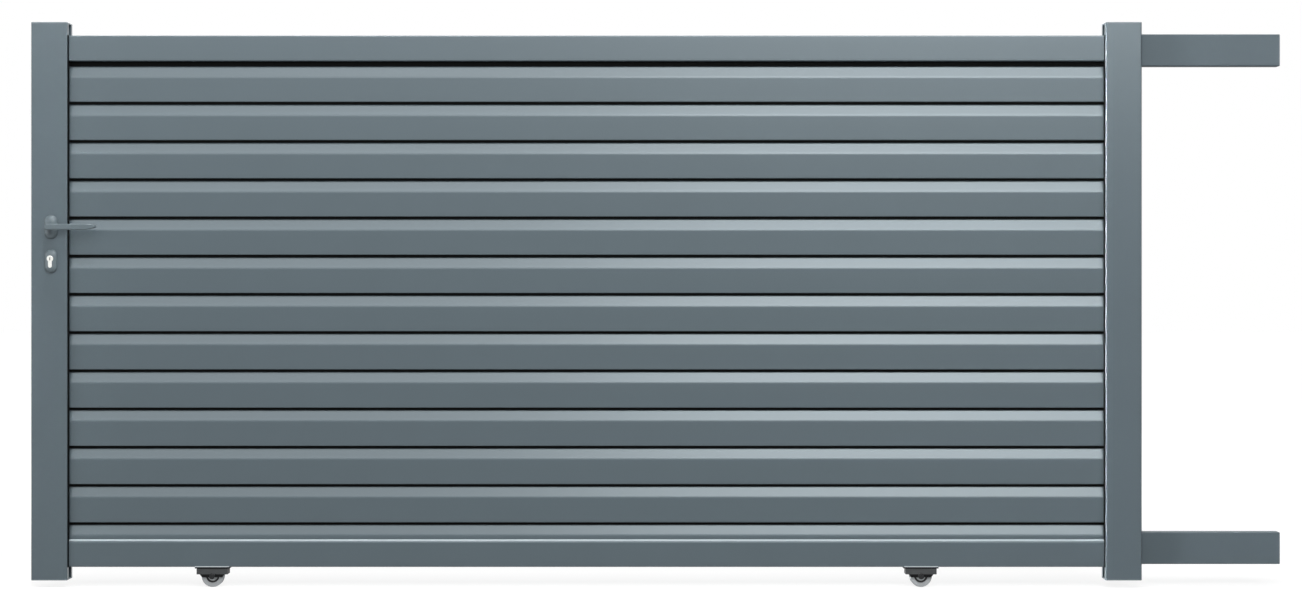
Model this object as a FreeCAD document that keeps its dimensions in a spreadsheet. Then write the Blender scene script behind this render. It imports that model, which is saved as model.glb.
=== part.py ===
import FreeCAD, Part
import math
import os
import Sketcher

# Leaf of a sliding driveway gate in powder coated aluminium: two stiles, two rails and a
# stack of interlocking slats, with a lever lock, two grooved wheels and two guide tails.
# X runs along the leaf from its closing face, Y from its front to its back, Z up.
# The origin is on the closing face, at mid depth, at the lower end of the stile tube.

# Driving dimensions in millimetres
DIMENSIONS = {
    # Leaf and its stiles
    "leaf_width": 3000,
    "stile_length": 1500,
    "stile_face": 98,
    "stile_depth": 60,
    "stile_wall": 2.2,
    "stile_corner": 4,
    # Caps on tube ends
    "cap_thickness": 4,
    "cap_edge": 1.5,
    "cap_plug_depth": 18,
    "cap_plug_wall": 3,
    "cap_plug_gap": 0.3,
    # Rails between the stiles
    "rail_height": 70,
    "rail_lip": 6.5,
    "rail_wall": 2.2,
    "rail_corner": 4,
    "rail_inset": 31,
    # Groove of stiles and rails that holds the slats
    "groove_depth": 12,
    "groove_side_gap": 0.5,
    "groove_end_gap": 2,
    # Slat extrusion
    "slat_thickness": 26,
    "slat_pitch": 103.5,
    "slat_wall": 1.4,
    "slat_bevel_height": 30,
    "slat_bevel_round": 30,
    "slat_lip_round": 2,
    "slat_shadow_gap": 6,
    "slat_tongue_thickness": 8,
    "slat_tongue_reach": 10,
    "slat_tongue_gap": 0.5,
    "top_slat_drop": 12,
    # Guide tails behind the tail stile
    "tail_length": 372,
    "tail_height": 86,
    "tail_depth": 40,
    "tail_wall": 2.2,
    "tail_corner": 3,
    "tail_cap_thickness": 3,
    "top_tail_inset": 28,
    "bottom_tail_inset": 39,
    # Lock: places of its two axes, case, forend and hook
    "lock_backset": 54,
    "lever_height": 950,
    "cylinder_drop": 85,
    "case_height": 180,
    "case_thickness": 17,
    "case_end_gap": 6,
    "forend_length": 245,
    "forend_width": 24,
    "forend_thickness": 3,
    "forend_setback": 0.5,
    "forend_gap": 0.3,
    "hook_height": 32,
    "hook_reach": 36,
    "hook_thickness": 8,
    "hook_beak": 12,
    "hook_round": 4,
    "hook_setback": 1,
    "hook_gap": 0.5,
    # Profile cylinder
    "cylinder_circle": 17,
    "cylinder_leg": 10,
    "cylinder_profile_height": 33,
    "cylinder_proud": 1,
    "cylinder_gap": 0.25,
    # Oval roses
    "rose_width": 35,
    "rose_length": 65,
    "rose_height": 10,
    "rose_round": 7,
    "cylinder_rose_drop": 7,
    # Lever handles and their square spindle
    "lever_length": 130,
    "lever_bar_height": 16,
    "lever_bar_thickness": 12,
    "lever_standoff": 36,
    "lever_tip_run": 26,
    "lever_tip_drop": 2.5,
    "lever_tip_height": 7.5,
    "lever_tip_round": 3.6,
    "lever_shoulder_round": 20,
    "lever_hub_round": 7,
    "lever_edge_round": 2.6,
    "lever_neck": 14,
    "lever_neck_gap": 0.3,
    "lever_socket_depth": 20,
    "spindle_side": 8,
    "spindle_gap": 0.1,
    "spindle_hole": 13,
    # Wheel units
    "front_wheel_inset": 487,
    "rear_wheel_inset": 595,
    "wheel_diameter": 60,
    "wheel_width": 20,
    "wheel_edge": 1,
    "wheel_groove_radius": 7,
    "wheel_groove_depth": 6,
    "wheel_recess_diameter": 37,
    "wheel_recess_depth": 3,
    "wheel_side_gap": 5,
    "wheel_slot_length": 56,
    "bearing_diameter": 26,
    "bearing_proud": 1,
    "bearing_spacer": 16,
    "bearing_gap": 0.05,
    "spacer_gap": 0.5,
    "axle_diameter": 10,
    "axle_drop": 25,
    "axle_gap": 0.05,
    "axle_head_diameter": 16,
    "axle_head_thickness": 3,
    "bracket_plate_length": 95,
    "bracket_plate_width": 38,
    "bracket_plate_thickness": 4,
    "bracket_plate_corner": 4,
    "bracket_wall": 3,
    "housing_length": 84,
    "housing_depth": 16,
    "housing_end_block": 9,
    "housing_panel_depth": 1,
    "skirt_top_length": 67,
    "skirt_bottom_length": 54,
    "skirt_depth": 8,
    "axle_boss": 15,
}

# Places and sizes worked out from the driving dimensions
STILE_HALF = "(Dim.stile_depth / 2)"
GROOVE_HALF = "(Dim.slat_thickness / 2 + Dim.groove_side_gap)"
STILE_GROOVE_FLOOR = "(Dim.stile_face - Dim.groove_depth)"
CLEAR_WIDTH = "(Dim.leaf_width - 2 * Dim.stile_face)"
RAIL_HALF = f"({GROOVE_HALF} + Dim.rail_lip)"
RAIL_GROOVE_FLOOR = "(Dim.rail_height - Dim.groove_depth)"
TOP_RAIL_TOP = "(Dim.stile_length - Dim.rail_inset)"
TOP_RAIL_UNDERSIDE = f"({TOP_RAIL_TOP} - Dim.rail_height)"
SLAT_SEAT = f"(Dim.rail_inset + {RAIL_GROOVE_FLOOR})"
SLAT_HALF = "(Dim.slat_thickness / 2)"
TONGUE_HALF = "(Dim.slat_tongue_thickness / 2)"
BEVEL_TOP = "(Dim.slat_pitch - Dim.slat_shadow_gap)"
BEVEL_FOOT = f"({BEVEL_TOP} - Dim.slat_bevel_height)"
SLAT_END_REACH = "(Dim.groove_depth - Dim.groove_end_gap)"
TOP_SLAT_BASE = f"({TOP_RAIL_UNDERSIDE} - Dim.top_slat_drop - {BEVEL_TOP})"
TAIL_HALF = "(Dim.tail_depth / 2)"
CYLINDER_HEIGHT = "(Dim.lever_height - Dim.cylinder_drop)"
LOCK_CENTRE = "(Dim.lever_height - Dim.cylinder_drop / 2)"
LEVER_BAR_BACK = "(Dim.lever_standoff - Dim.lever_bar_thickness / 2)"
AXLE_HEIGHT = "(Dim.rail_inset - Dim.axle_drop)"
REAR_WHEEL_PLACE = "(Dim.leaf_width - Dim.rear_wheel_inset)"
WHEEL_SPACE = "(Dim.wheel_width + 2 * Dim.wheel_side_gap)"
BRACKET_WIDTH = f"({WHEEL_SPACE} + 2 * Dim.bracket_wall)"

X_AXIS = FreeCAD.Vector(1, 0, 0)
Y_AXIS = FreeCAD.Vector(0, 1, 0)
Z_AXIS = FreeCAD.Vector(0, 0, 1)
HALF_TURN_ABOUT_X = FreeCAD.Rotation(X_AXIS, 180)
HALF_TURN_ABOUT_Y = FreeCAD.Rotation(Y_AXIS, 180)
HALF_TURN_ABOUT_Z = FreeCAD.Rotation(Z_AXIS, 180)
CAP_ALONG_X = FreeCAD.Rotation(Y_AXIS, 90)
TOLERANCE = 0.01

doc = FreeCAD.newDocument("SlidingGateLeaf")
sheet = doc.addObject("Spreadsheet::Sheet", "Dim")
for row, (alias, number) in enumerate(DIMENSIONS.items(), 1):
    sheet.set(f"A{row}", alias)
    sheet.set(f"B{row}", str(number))
    sheet.setAlias(f"B{row}", alias)
doc.recompute()

pieces = []


# Helpers for sketches and features

def value(expression):
    return float(sheet.evalExpression(expression))


def new_body(label):
    body = doc.addObject("PartDesign::Body", label)
    body.Label = label
    pieces.append(body)
    return body


def place(piece, x="0", y="0", z="0", turn=None):
    if turn:
        piece.Placement = FreeCAD.Placement(FreeCAD.Vector(), turn)
    for axis, expression in zip("xyz", (x, y, z)):
        piece.setExpression(f"Placement.Base.{axis}", expression)


def sketch_on(body, role, offset="0"):
    sketch = body.newObject("Sketcher::SketchObject", f"{body.Label}_sketch")
    plane = next(item for item in body.Origin.OriginFeatures if item.Role == role)
    sketch.AttachmentSupport = [(plane, "")]
    sketch.MapMode = "FlatFace"
    sketch.setExpression("AttachmentOffset.Base.z", offset)
    return sketch


def bind(sketch, kind, *ends, expression):
    """Dimension of a sketch that follows an expression."""
    index = sketch.addConstraint(Sketcher.Constraint(kind, *ends, value(expression)))
    sketch.setExpression(f"Constraints[{index}]", expression)


def bind_point(sketch, geometry, end, x, y):
    bind(sketch, "DistanceX", -1, 1, geometry, end, expression=x)
    bind(sketch, "DistanceY", -1, 1, geometry, end, expression=y)


def polygon(sketch, corners):
    """Closed outline of straight sides, each corner bound to a pair of expressions."""
    first = sketch.GeometryCount
    points = [FreeCAD.Vector(value(x), value(y), 0) for x, y in corners]
    following = points[1:] + points[:1]
    sides = [Part.LineSegment(start, end) for start, end in zip(points, following)]
    sketch.addGeometry(sides)
    for side in range(len(sides)):
        next_side = (side + 1) % len(sides)
        sketch.addConstraint(Sketcher.Constraint("Coincident", first + side, 2, first + next_side, 1))
    for side, (x, y) in enumerate(corners):
        bind_point(sketch, first + side, 1, x, y)


def rectangle(sketch, left, right, low, high):
    polygon(sketch, [(left, low), (right, low), (right, high), (left, high)])


def circle(sketch, diameter, x="0", y="0"):
    centre = FreeCAD.Vector(value(x), value(y), 0)
    index = sketch.addGeometry(Part.Circle(centre, FreeCAD.Vector(0, 0, 1), value(diameter) / 2))
    bind(sketch, "Diameter", index, expression=diameter)
    bind_point(sketch, index, 3, x, y)


def arc(centre_x, centre_y, radius, start_degrees, end_degrees):
    centre = FreeCAD.Vector(centre_x, centre_y, 0)
    whole = Part.Circle(centre, FreeCAD.Vector(0, 0, 1), radius)
    return Part.ArcOfCircle(whole, math.radians(start_degrees), math.radians(end_degrees))


def stadium(sketch, width, length, y="0"):
    """Upright oval of two straight sides and two half circles."""
    half = value(width) / 2
    middle = value(y)
    reach = value(length) / 2 - half
    top = sketch.addGeometry(arc(0, middle + reach, half, 0, 180))
    left = sketch.addGeometry(Part.LineSegment(
        FreeCAD.Vector(-half, middle + reach, 0), FreeCAD.Vector(-half, middle - reach, 0)))
    bottom = sketch.addGeometry(arc(0, middle - reach, half, 180, 360))
    right = sketch.addGeometry(Part.LineSegment(
        FreeCAD.Vector(half, middle - reach, 0), FreeCAD.Vector(half, middle + reach, 0)))
    sketch.addConstraint(Sketcher.Constraint("Tangent", top, 2, left, 1))
    sketch.addConstraint(Sketcher.Constraint("Tangent", left, 2, bottom, 1))
    sketch.addConstraint(Sketcher.Constraint("Tangent", bottom, 2, right, 1))
    sketch.addConstraint(Sketcher.Constraint("Tangent", right, 2, top, 1))
    bind(sketch, "Radius", top, expression=f"{width} / 2")
    bind_point(sketch, top, 3, "0", f"{y} + ({length} - {width}) / 2")
    bind_point(sketch, bottom, 3, "0", f"{y} - ({length} - {width}) / 2")


def cylinder_profile(sketch, gap, x="0", y="0"):
    """Keyhole outline of a profile cylinder: a round barrel over a narrower leg."""
    barrel_radius = f"(Dim.cylinder_circle / 2 + {gap})"
    leg_radius = f"(Dim.cylinder_leg / 2 + {gap})"
    leg_end = f"{y} - (Dim.cylinder_profile_height - Dim.cylinder_circle / 2 - Dim.cylinder_leg / 2)"
    centre_x = value(x)
    centre_y = value(y)
    foot_y = value(leg_end)
    half = value(leg_radius)
    neck_y = centre_y - (value(barrel_radius) ** 2 - half ** 2) ** 0.5
    corners = [FreeCAD.Vector(centre_x + side * half, height, 0)
               for side, height in ((-1, neck_y), (-1, foot_y), (1, foot_y), (1, neck_y))]
    crown = FreeCAD.Vector(centre_x, centre_y + value(barrel_radius), 0)
    foot = FreeCAD.Vector(centre_x, foot_y - half, 0)
    barrel = sketch.addGeometry(Part.Arc(corners[3], crown, corners[0]))
    left = sketch.addGeometry(Part.LineSegment(corners[0], corners[1]))
    bottom = sketch.addGeometry(Part.Arc(corners[1], foot, corners[2]))
    right = sketch.addGeometry(Part.LineSegment(corners[2], corners[3]))
    sketch.addConstraint(Sketcher.Constraint("Coincident", barrel, 2, left, 1))
    sketch.addConstraint(Sketcher.Constraint("Tangent", left, 2, bottom, 1))
    sketch.addConstraint(Sketcher.Constraint("Tangent", bottom, 2, right, 1))
    sketch.addConstraint(Sketcher.Constraint("Coincident", right, 2, barrel, 1))
    sketch.addConstraint(Sketcher.Constraint("Vertical", left))
    sketch.addConstraint(Sketcher.Constraint("Vertical", right))
    bind(sketch, "Radius", barrel, expression=barrel_radius)
    bind(sketch, "Radius", bottom, expression=leg_radius)
    bind_point(sketch, barrel, 3, x, y)
    bind_point(sketch, bottom, 3, x, leg_end)


def feature(body, kind, sketch, length, both_ways=False, reverse=False):
    item = body.newObject(f"PartDesign::{kind}", f"{body.Label}_{kind.lower()}")
    item.Profile = sketch
    item.SideType = "Symmetric" if both_ways else "One side"
    item.Reversed = reverse
    item.setExpression("Length", length)
    doc.recompute()
    return item


def pad(body, sketch, length, both_ways=False, reverse=False):
    return feature(body, "Pad", sketch, length, both_ways, reverse)


def pocket(body, sketch, length, both_ways=False, reverse=False):
    before = body.Shape.Volume
    item = feature(body, "Pocket", sketch, length, both_ways, reverse)
    if body.Shape.Volume >= before - TOLERANCE:
        raise RuntimeError(f"{item.Label} cuts nothing")
    return item


def turned(body, kind, sketch):
    """Full turn of a section about the Y axis of its body."""
    item = body.newObject(f"PartDesign::{kind}", f"{body.Label}_{kind.lower()}")
    item.Profile = sketch
    item.ReferenceAxis = (sketch, ["V_Axis"])
    item.Angle = 360
    doc.recompute()
    return item


def near(number, *targets):
    return any(abs(number - target) < TOLERANCE for target in targets)


def runs_along(edge, axis):
    """True where a straight edge is parallel to the axis, or where any direction will do."""
    if axis is None:
        return True
    start, end = edge.Vertexes[0].Point, edge.Vertexes[-1].Point
    return near((end - start).cross(axis).Length, 0)


def round_edges(body, radius, chosen, axis=None):
    """Fillet on those edges of a body along an axis whose end points all pass a test."""
    base = body.Tip
    names = [f"Edge{index}" for index, edge in enumerate(base.Shape.Edges, 1)
             if runs_along(edge, axis) and all(chosen(vertex.Point) for vertex in edge.Vertexes)]
    fillet = body.newObject("PartDesign::Fillet", f"{body.Label}_fillet")
    fillet.Base = (base, names)
    fillet.setExpression("Radius", radius)
    doc.recompute()
    return fillet


# Frame of stiles and rails

def stile(label):
    """Tube with a slat groove along its inner side; its outer side is at local x = 0."""
    body = new_body(label)
    section = sketch_on(body, "XY_Plane")
    polygon(section, [
        ("0", f"-{STILE_HALF}"),
        ("Dim.stile_face", f"-{STILE_HALF}"),
        ("Dim.stile_face", f"-{GROOVE_HALF}"),
        (STILE_GROOVE_FLOOR, f"-{GROOVE_HALF}"),
        (STILE_GROOVE_FLOOR, GROOVE_HALF),
        ("Dim.stile_face", GROOVE_HALF),
        ("Dim.stile_face", STILE_HALF),
        ("0", STILE_HALF),
    ])
    side = f"({STILE_HALF} - Dim.stile_wall)"
    lip_end = "(Dim.stile_face - Dim.stile_wall)"
    floor_back = f"({STILE_GROOVE_FLOOR} - Dim.stile_wall)"
    groove_back = f"({GROOVE_HALF} + Dim.stile_wall)"
    polygon(section, [
        ("Dim.stile_wall", f"-{side}"),
        (lip_end, f"-{side}"),
        (lip_end, f"-{groove_back}"),
        (floor_back, f"-{groove_back}"),
        (floor_back, groove_back),
        (lip_end, groove_back),
        (lip_end, side),
        ("Dim.stile_wall", side),
    ])
    pad(body, section, "Dim.stile_length")
    face = value("Dim.stile_face")
    half = value(STILE_HALF)
    round_edges(body, "Dim.stile_corner",
                lambda point: near(point.x, 0, face) and near(abs(point.y), half), Z_AXIS)
    return body


def lock_stile():
    """Stile that carries the lock, pierced for spindle, cylinder and forend."""
    body = stile("lock_stile")
    holes = sketch_on(body, "XZ_Plane")
    circle(holes, "Dim.spindle_hole", "Dim.lock_backset", "Dim.lever_height")
    cylinder_profile(holes, "Dim.cylinder_gap", "Dim.lock_backset", CYLINDER_HEIGHT)
    pocket(body, holes, "2 * Dim.stile_depth", both_ways=True)
    mortise = sketch_on(body, "YZ_Plane")
    stadium(mortise, "(Dim.forend_width + 2 * Dim.forend_gap)",
            "(Dim.forend_length + 2 * Dim.forend_gap)", LOCK_CENTRE)
    pocket(body, mortise, "Dim.stile_wall + Dim.forend_thickness", reverse=True)


def cap(label, width, depth, corner, thickness, plug_start, plug_end, plug_half):
    """Moulded end cap: a plate of the tube's outline over a hollow plug."""
    body = new_body(label)
    plate = sketch_on(body, "XY_Plane")
    rectangle(plate, "0", width, f"-{depth} / 2", f"{depth} / 2")
    pad(body, plate, thickness)
    far_side = value(width)
    half = value(depth) / 2
    height = value(thickness)
    round_edges(body, corner,
                lambda point: near(point.x, 0, far_side) and near(abs(point.y), half), Z_AXIS)
    round_edges(body, "Dim.cap_edge", lambda point: near(point.z, height))
    plug = sketch_on(body, "XY_Plane")
    rectangle(plug, plug_start, plug_end, f"-{plug_half}", plug_half)
    rectangle(plug, f"{plug_start} + Dim.cap_plug_wall", f"{plug_end} - Dim.cap_plug_wall",
              f"-({plug_half} - Dim.cap_plug_wall)", f"{plug_half} - Dim.cap_plug_wall")
    pad(body, plug, "Dim.cap_plug_depth", reverse=True)
    return body


def stile_cap(label):
    start = "(Dim.stile_wall + Dim.cap_plug_gap)"
    end = f"({STILE_GROOVE_FLOOR} - Dim.stile_wall - Dim.cap_plug_gap)"
    half = f"({STILE_HALF} - Dim.stile_wall - Dim.cap_plug_gap)"
    return cap(label, "Dim.stile_face", "Dim.stile_depth", "Dim.stile_corner",
               "Dim.cap_thickness", start, end, half)


def rail(label):
    """Rail between the stiles, with its slat groove along the upper edge."""
    body = new_body(label)
    section = sketch_on(body, "YZ_Plane")
    polygon(section, [
        (f"-{RAIL_HALF}", "0"),
        (RAIL_HALF, "0"),
        (RAIL_HALF, "Dim.rail_height"),
        (GROOVE_HALF, "Dim.rail_height"),
        (GROOVE_HALF, RAIL_GROOVE_FLOOR),
        (f"-{GROOVE_HALF}", RAIL_GROOVE_FLOOR),
        (f"-{GROOVE_HALF}", "Dim.rail_height"),
        (f"-{RAIL_HALF}", "Dim.rail_height"),
    ])
    side = f"({RAIL_HALF} - Dim.rail_wall)"
    rectangle(section, f"-{side}", side, "Dim.rail_wall", f"{RAIL_GROOVE_FLOOR} - Dim.rail_wall")
    pad(body, section, CLEAR_WIDTH)
    height = value("Dim.rail_height")
    half = value(RAIL_HALF)
    round_edges(body, "Dim.rail_corner",
                lambda point: near(point.z, 0, height) and near(abs(point.y), half), X_AXIS)
    return body


def bottom_rail():
    """Lower rail, with a slot through its underside over each wheel."""
    body = rail("bottom_rail")
    place(body, x="Dim.stile_face", z="Dim.rail_inset")
    slots = sketch_on(body, "XY_Plane")
    for wheel_place in ("Dim.front_wheel_inset", REAR_WHEEL_PLACE):
        middle = f"{wheel_place} - Dim.stile_face"
        rectangle(slots, f"{middle} - Dim.wheel_slot_length / 2", f"{middle} + Dim.wheel_slot_length / 2",
                  f"-{WHEEL_SPACE} / 2", f"{WHEEL_SPACE} / 2")
    pocket(body, slots, "2 * Dim.rail_wall", reverse=True)


# Slats

def slat(label, order):
    """One hollow slat: flat faces, bevels that rise to a tongue, and a groove below for the next tongue."""
    body = new_body(label)
    section = sketch_on(body, "YZ_Plane")
    tongue_top = "Dim.slat_pitch + Dim.slat_tongue_reach"
    slot_half = f"({TONGUE_HALF} + Dim.slat_tongue_gap)"
    polygon(section, [
        (f"-{SLAT_HALF}", "0"),
        (f"-{slot_half}", "0"),
        (f"-{slot_half}", "Dim.slat_tongue_reach"),
        (slot_half, "Dim.slat_tongue_reach"),
        (slot_half, "0"),
        (SLAT_HALF, "0"),
        (SLAT_HALF, BEVEL_FOOT),
        (TONGUE_HALF, BEVEL_TOP),
        (TONGUE_HALF, tongue_top),
        (f"-{TONGUE_HALF}", tongue_top),
        (f"-{TONGUE_HALF}", BEVEL_TOP),
        (f"-{SLAT_HALF}", BEVEL_FOOT),
    ])
    inner_half = f"({SLAT_HALF} - Dim.slat_wall)"
    inner_tongue = f"({TONGUE_HALF} - Dim.slat_wall)"
    slot_back = f"({slot_half} + Dim.slat_wall)"
    slot_roof = "Dim.slat_tongue_reach + Dim.slat_wall"
    polygon(section, [
        (f"-{inner_half}", "Dim.slat_wall"),
        (f"-{slot_back}", "Dim.slat_wall"),
        (f"-{slot_back}", slot_roof),
        (slot_back, slot_roof),
        (slot_back, "Dim.slat_wall"),
        (inner_half, "Dim.slat_wall"),
        (inner_half, BEVEL_FOOT),
        (inner_tongue, BEVEL_TOP),
        (inner_tongue, f"{tongue_top} - Dim.slat_wall"),
        (f"-{inner_tongue}", f"{tongue_top} - Dim.slat_wall"),
        (f"-{inner_tongue}", BEVEL_TOP),
        (f"-{inner_half}", BEVEL_FOOT),
    ])
    pad(body, section, f"{CLEAR_WIDTH} + 2 * {SLAT_END_REACH}")
    half = value(SLAT_HALF)
    foot = value(BEVEL_FOOT)
    round_edges(body, "Dim.slat_bevel_round",
                lambda point: near(abs(point.y), half) and near(point.z, foot), X_AXIS)
    round_edges(body, "Dim.slat_lip_round",
                lambda point: near(abs(point.y), half) and near(point.z, 0), X_AXIS)
    place(body, x=f"Dim.stile_face - {SLAT_END_REACH}", z=f"{TOP_SLAT_BASE} - {order} * Dim.slat_pitch")
    return body


def slat_stack():
    """Slats from the top rail down; the lowest is cut to stand in the groove of the bottom rail."""
    fall = value(TOP_SLAT_BASE) - value(SLAT_SEAT)
    count = 1 + max(0, -int(-fall // value("Dim.slat_pitch")))
    for order in range(count):
        lowest = slat(f"slat_{order + 1:02d}", order)
    cut_height = f"{SLAT_SEAT} - ({TOP_SLAT_BASE} - {count - 1} * Dim.slat_pitch)"
    waste = sketch_on(lowest, "YZ_Plane")
    rectangle(waste, "-Dim.slat_thickness", "Dim.slat_thickness", "-Dim.slat_pitch", cut_height)
    pocket(lowest, waste, f"2 * {CLEAR_WIDTH}", reverse=True)


# Guide tails

def guide_tail(label, base):
    """Rectangular tube that runs on behind the tail stile and keeps the leaf in its guides."""
    body = new_body(label)
    section = sketch_on(body, "YZ_Plane")
    rectangle(section, f"-{TAIL_HALF}", TAIL_HALF, "0", "Dim.tail_height")
    side = f"({TAIL_HALF} - Dim.tail_wall)"
    rectangle(section, f"-{side}", side, "Dim.tail_wall", "Dim.tail_height - Dim.tail_wall")
    pad(body, section, "Dim.tail_length")
    half = value(TAIL_HALF)
    height = value("Dim.tail_height")
    round_edges(body, "Dim.tail_corner",
                lambda point: near(abs(point.y), half) and near(point.z, 0, height), X_AXIS)
    place(body, x="Dim.leaf_width", z=base)


def tail_cap(label, base):
    inset = "(Dim.tail_wall + Dim.cap_plug_gap)"
    body = cap(label, "Dim.tail_height", "Dim.tail_depth", "Dim.tail_corner", "Dim.tail_cap_thickness",
               inset, f"(Dim.tail_height - {inset})", f"({TAIL_HALF} - {inset})")
    place(body, x="Dim.leaf_width + Dim.tail_length", z=f"{base} + Dim.tail_height", turn=CAP_ALONG_X)


# Lock in the closing stile

def lock_forend():
    """Round ended plate let into the closing face, slotted for the hook."""
    body = new_body("lock_forend")
    outline = sketch_on(body, "YZ_Plane")
    stadium(outline, "Dim.forend_width", "Dim.forend_length")
    pad(body, outline, "Dim.forend_thickness")
    slot = sketch_on(body, "YZ_Plane")
    half_width = "(Dim.hook_thickness / 2 + Dim.hook_gap)"
    half_height = "(Dim.hook_height / 2 + Dim.hook_gap)"
    rectangle(slot, f"-{half_width}", half_width, f"-{half_height}", half_height)
    pocket(body, slot, "2 * Dim.forend_thickness", both_ways=True)
    place(body, x="Dim.forend_setback", z=LOCK_CENTRE)


def lock_case():
    """Mortise case behind the forend, bored for spindle and cylinder and slotted for the hook."""
    body = new_body("lock_case")
    case_end = f"({STILE_GROOVE_FLOOR} - Dim.stile_wall - Dim.case_end_gap)"
    outline = sketch_on(body, "XZ_Plane")
    rectangle(outline, "Dim.forend_setback + Dim.forend_thickness", case_end,
              "-Dim.case_height / 2", "Dim.case_height / 2")
    pad(body, outline, "Dim.case_thickness", both_ways=True)
    bores = sketch_on(body, "XZ_Plane")
    circle(bores, "Dim.spindle_hole", "Dim.lock_backset", "Dim.cylinder_drop / 2")
    cylinder_profile(bores, "Dim.cylinder_gap", "Dim.lock_backset", "-Dim.cylinder_drop / 2")
    pocket(body, bores, "2 * Dim.case_thickness", both_ways=True)
    hook_space = sketch_on(body, "XZ_Plane")
    half_height = "(Dim.hook_height / 2 + Dim.hook_gap)"
    rectangle(hook_space, "0", "Dim.hook_setback + Dim.hook_reach + Dim.hook_gap",
              f"-{half_height}", half_height)
    pocket(body, hook_space, "Dim.hook_thickness + 2 * Dim.hook_gap", both_ways=True)
    place(body, z=LOCK_CENTRE)


def hook_bolt():
    """Hook drawn back into the case, its beak just inside the closing face."""
    body = new_body("hook_bolt")
    outline = sketch_on(body, "XZ_Plane")
    half = "(Dim.hook_height / 2)"
    beak_back = "(Dim.hook_setback + Dim.hook_beak)"
    shank_end = "(Dim.hook_setback + Dim.hook_reach)"
    polygon(outline, [
        ("Dim.hook_setback", f"-{half}"),
        (shank_end, f"-{half}"),
        (shank_end, "0"),
        (beak_back, "0"),
        (beak_back, half),
        ("Dim.hook_setback", half),
    ])
    pad(body, outline, "Dim.hook_thickness", both_ways=True)
    round_edges(body, "Dim.hook_round", lambda point: not near(point.z, 0), Y_AXIS)
    place(body, z=LOCK_CENTRE)


def lock_cylinder():
    """Profile cylinder through stile and case, a little proud of both roses."""
    body = new_body("lock_cylinder")
    outline = sketch_on(body, "XZ_Plane")
    cylinder_profile(outline, "0")
    pad(body, outline, "Dim.stile_depth + 2 * Dim.rose_height + 2 * Dim.cylinder_proud", both_ways=True)
    place(body, x="Dim.lock_backset", z=CYLINDER_HEIGHT)


def rose(label, at_back, centre):
    """Domed oval rose on one face of the stile, before its hole is cut."""
    body = new_body(label)
    outline = sketch_on(body, "XZ_Plane")
    stadium(outline, "Dim.rose_width", "Dim.rose_length", centre)
    pad(body, outline, "Dim.rose_height", reverse=at_back)
    height = value("Dim.rose_height")
    round_edges(body, "Dim.rose_round", lambda point: near(abs(point.y), height))
    return body


def face_of_stile(at_back):
    return STILE_HALF if at_back else f"-{STILE_HALF}"


def lever_rose(label, at_back):
    body = rose(label, at_back, "0")
    hole = sketch_on(body, "XZ_Plane")
    circle(hole, "Dim.lever_neck + 2 * Dim.lever_neck_gap")
    pocket(body, hole, "4 * Dim.rose_height", both_ways=True)
    place(body, x="Dim.lock_backset", y=face_of_stile(at_back), z="Dim.lever_height")


def cylinder_rose(label, at_back):
    body = rose(label, at_back, "-Dim.cylinder_rose_drop")
    hole = sketch_on(body, "XZ_Plane")
    cylinder_profile(hole, "Dim.cylinder_gap")
    pocket(body, hole, "4 * Dim.rose_height", both_ways=True)
    place(body, x="Dim.lock_backset", y=face_of_stile(at_back), z=CYLINDER_HEIGHT)


def lever(label, at_back):
    """Lever with a straight bar, a blunt tip, and a round neck bored square for the spindle."""
    body = new_body(label)
    side = "-" if at_back else ""
    bar = sketch_on(body, "XZ_Plane", f"{side}{LEVER_BAR_BACK}")
    half = "(Dim.lever_bar_height / 2)"
    tip_start = "(Dim.lever_length - Dim.lever_tip_run)"
    polygon(bar, [
        (f"-{half}", f"-{half}"),
        (tip_start, f"-{half}"),
        ("Dim.lever_length", f"{half} - Dim.lever_tip_drop - Dim.lever_tip_height"),
        ("Dim.lever_length", f"{half} - Dim.lever_tip_drop"),
        (tip_start, half),
        (f"-{half}", half),
    ])
    pad(body, bar, "Dim.lever_bar_thickness", reverse=at_back)
    hub_side = -value(half)
    tip = value("Dim.lever_length")
    shoulder = value(tip_start)
    round_edges(body, "Dim.lever_hub_round", lambda point: near(point.x, hub_side), Y_AXIS)
    round_edges(body, "Dim.lever_tip_round", lambda point: near(point.x, tip), Y_AXIS)
    round_edges(body, "Dim.lever_shoulder_round", lambda point: near(point.x, shoulder), Y_AXIS)
    bar_faces = [value(LEVER_BAR_BACK), value(f"{LEVER_BAR_BACK} + Dim.lever_bar_thickness")]
    round_edges(body, "Dim.lever_edge_round", lambda point: near(abs(point.y), *bar_faces))
    neck = sketch_on(body, "XZ_Plane", f"{side}Dim.lever_neck_gap")
    circle(neck, "Dim.lever_neck")
    pad(body, neck, "Dim.lever_standoff - Dim.lever_neck_gap", reverse=at_back)
    socket = sketch_on(body, "XZ_Plane")
    socket_half = "(Dim.spindle_side / 2 + Dim.spindle_gap)"
    rectangle(socket, f"-{socket_half}", socket_half, f"-{socket_half}", socket_half)
    pocket(body, socket, "Dim.lever_socket_depth + Dim.lever_neck_gap", reverse=not at_back)
    place(body, x="Dim.lock_backset", y=face_of_stile(at_back), z="Dim.lever_height")


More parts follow.
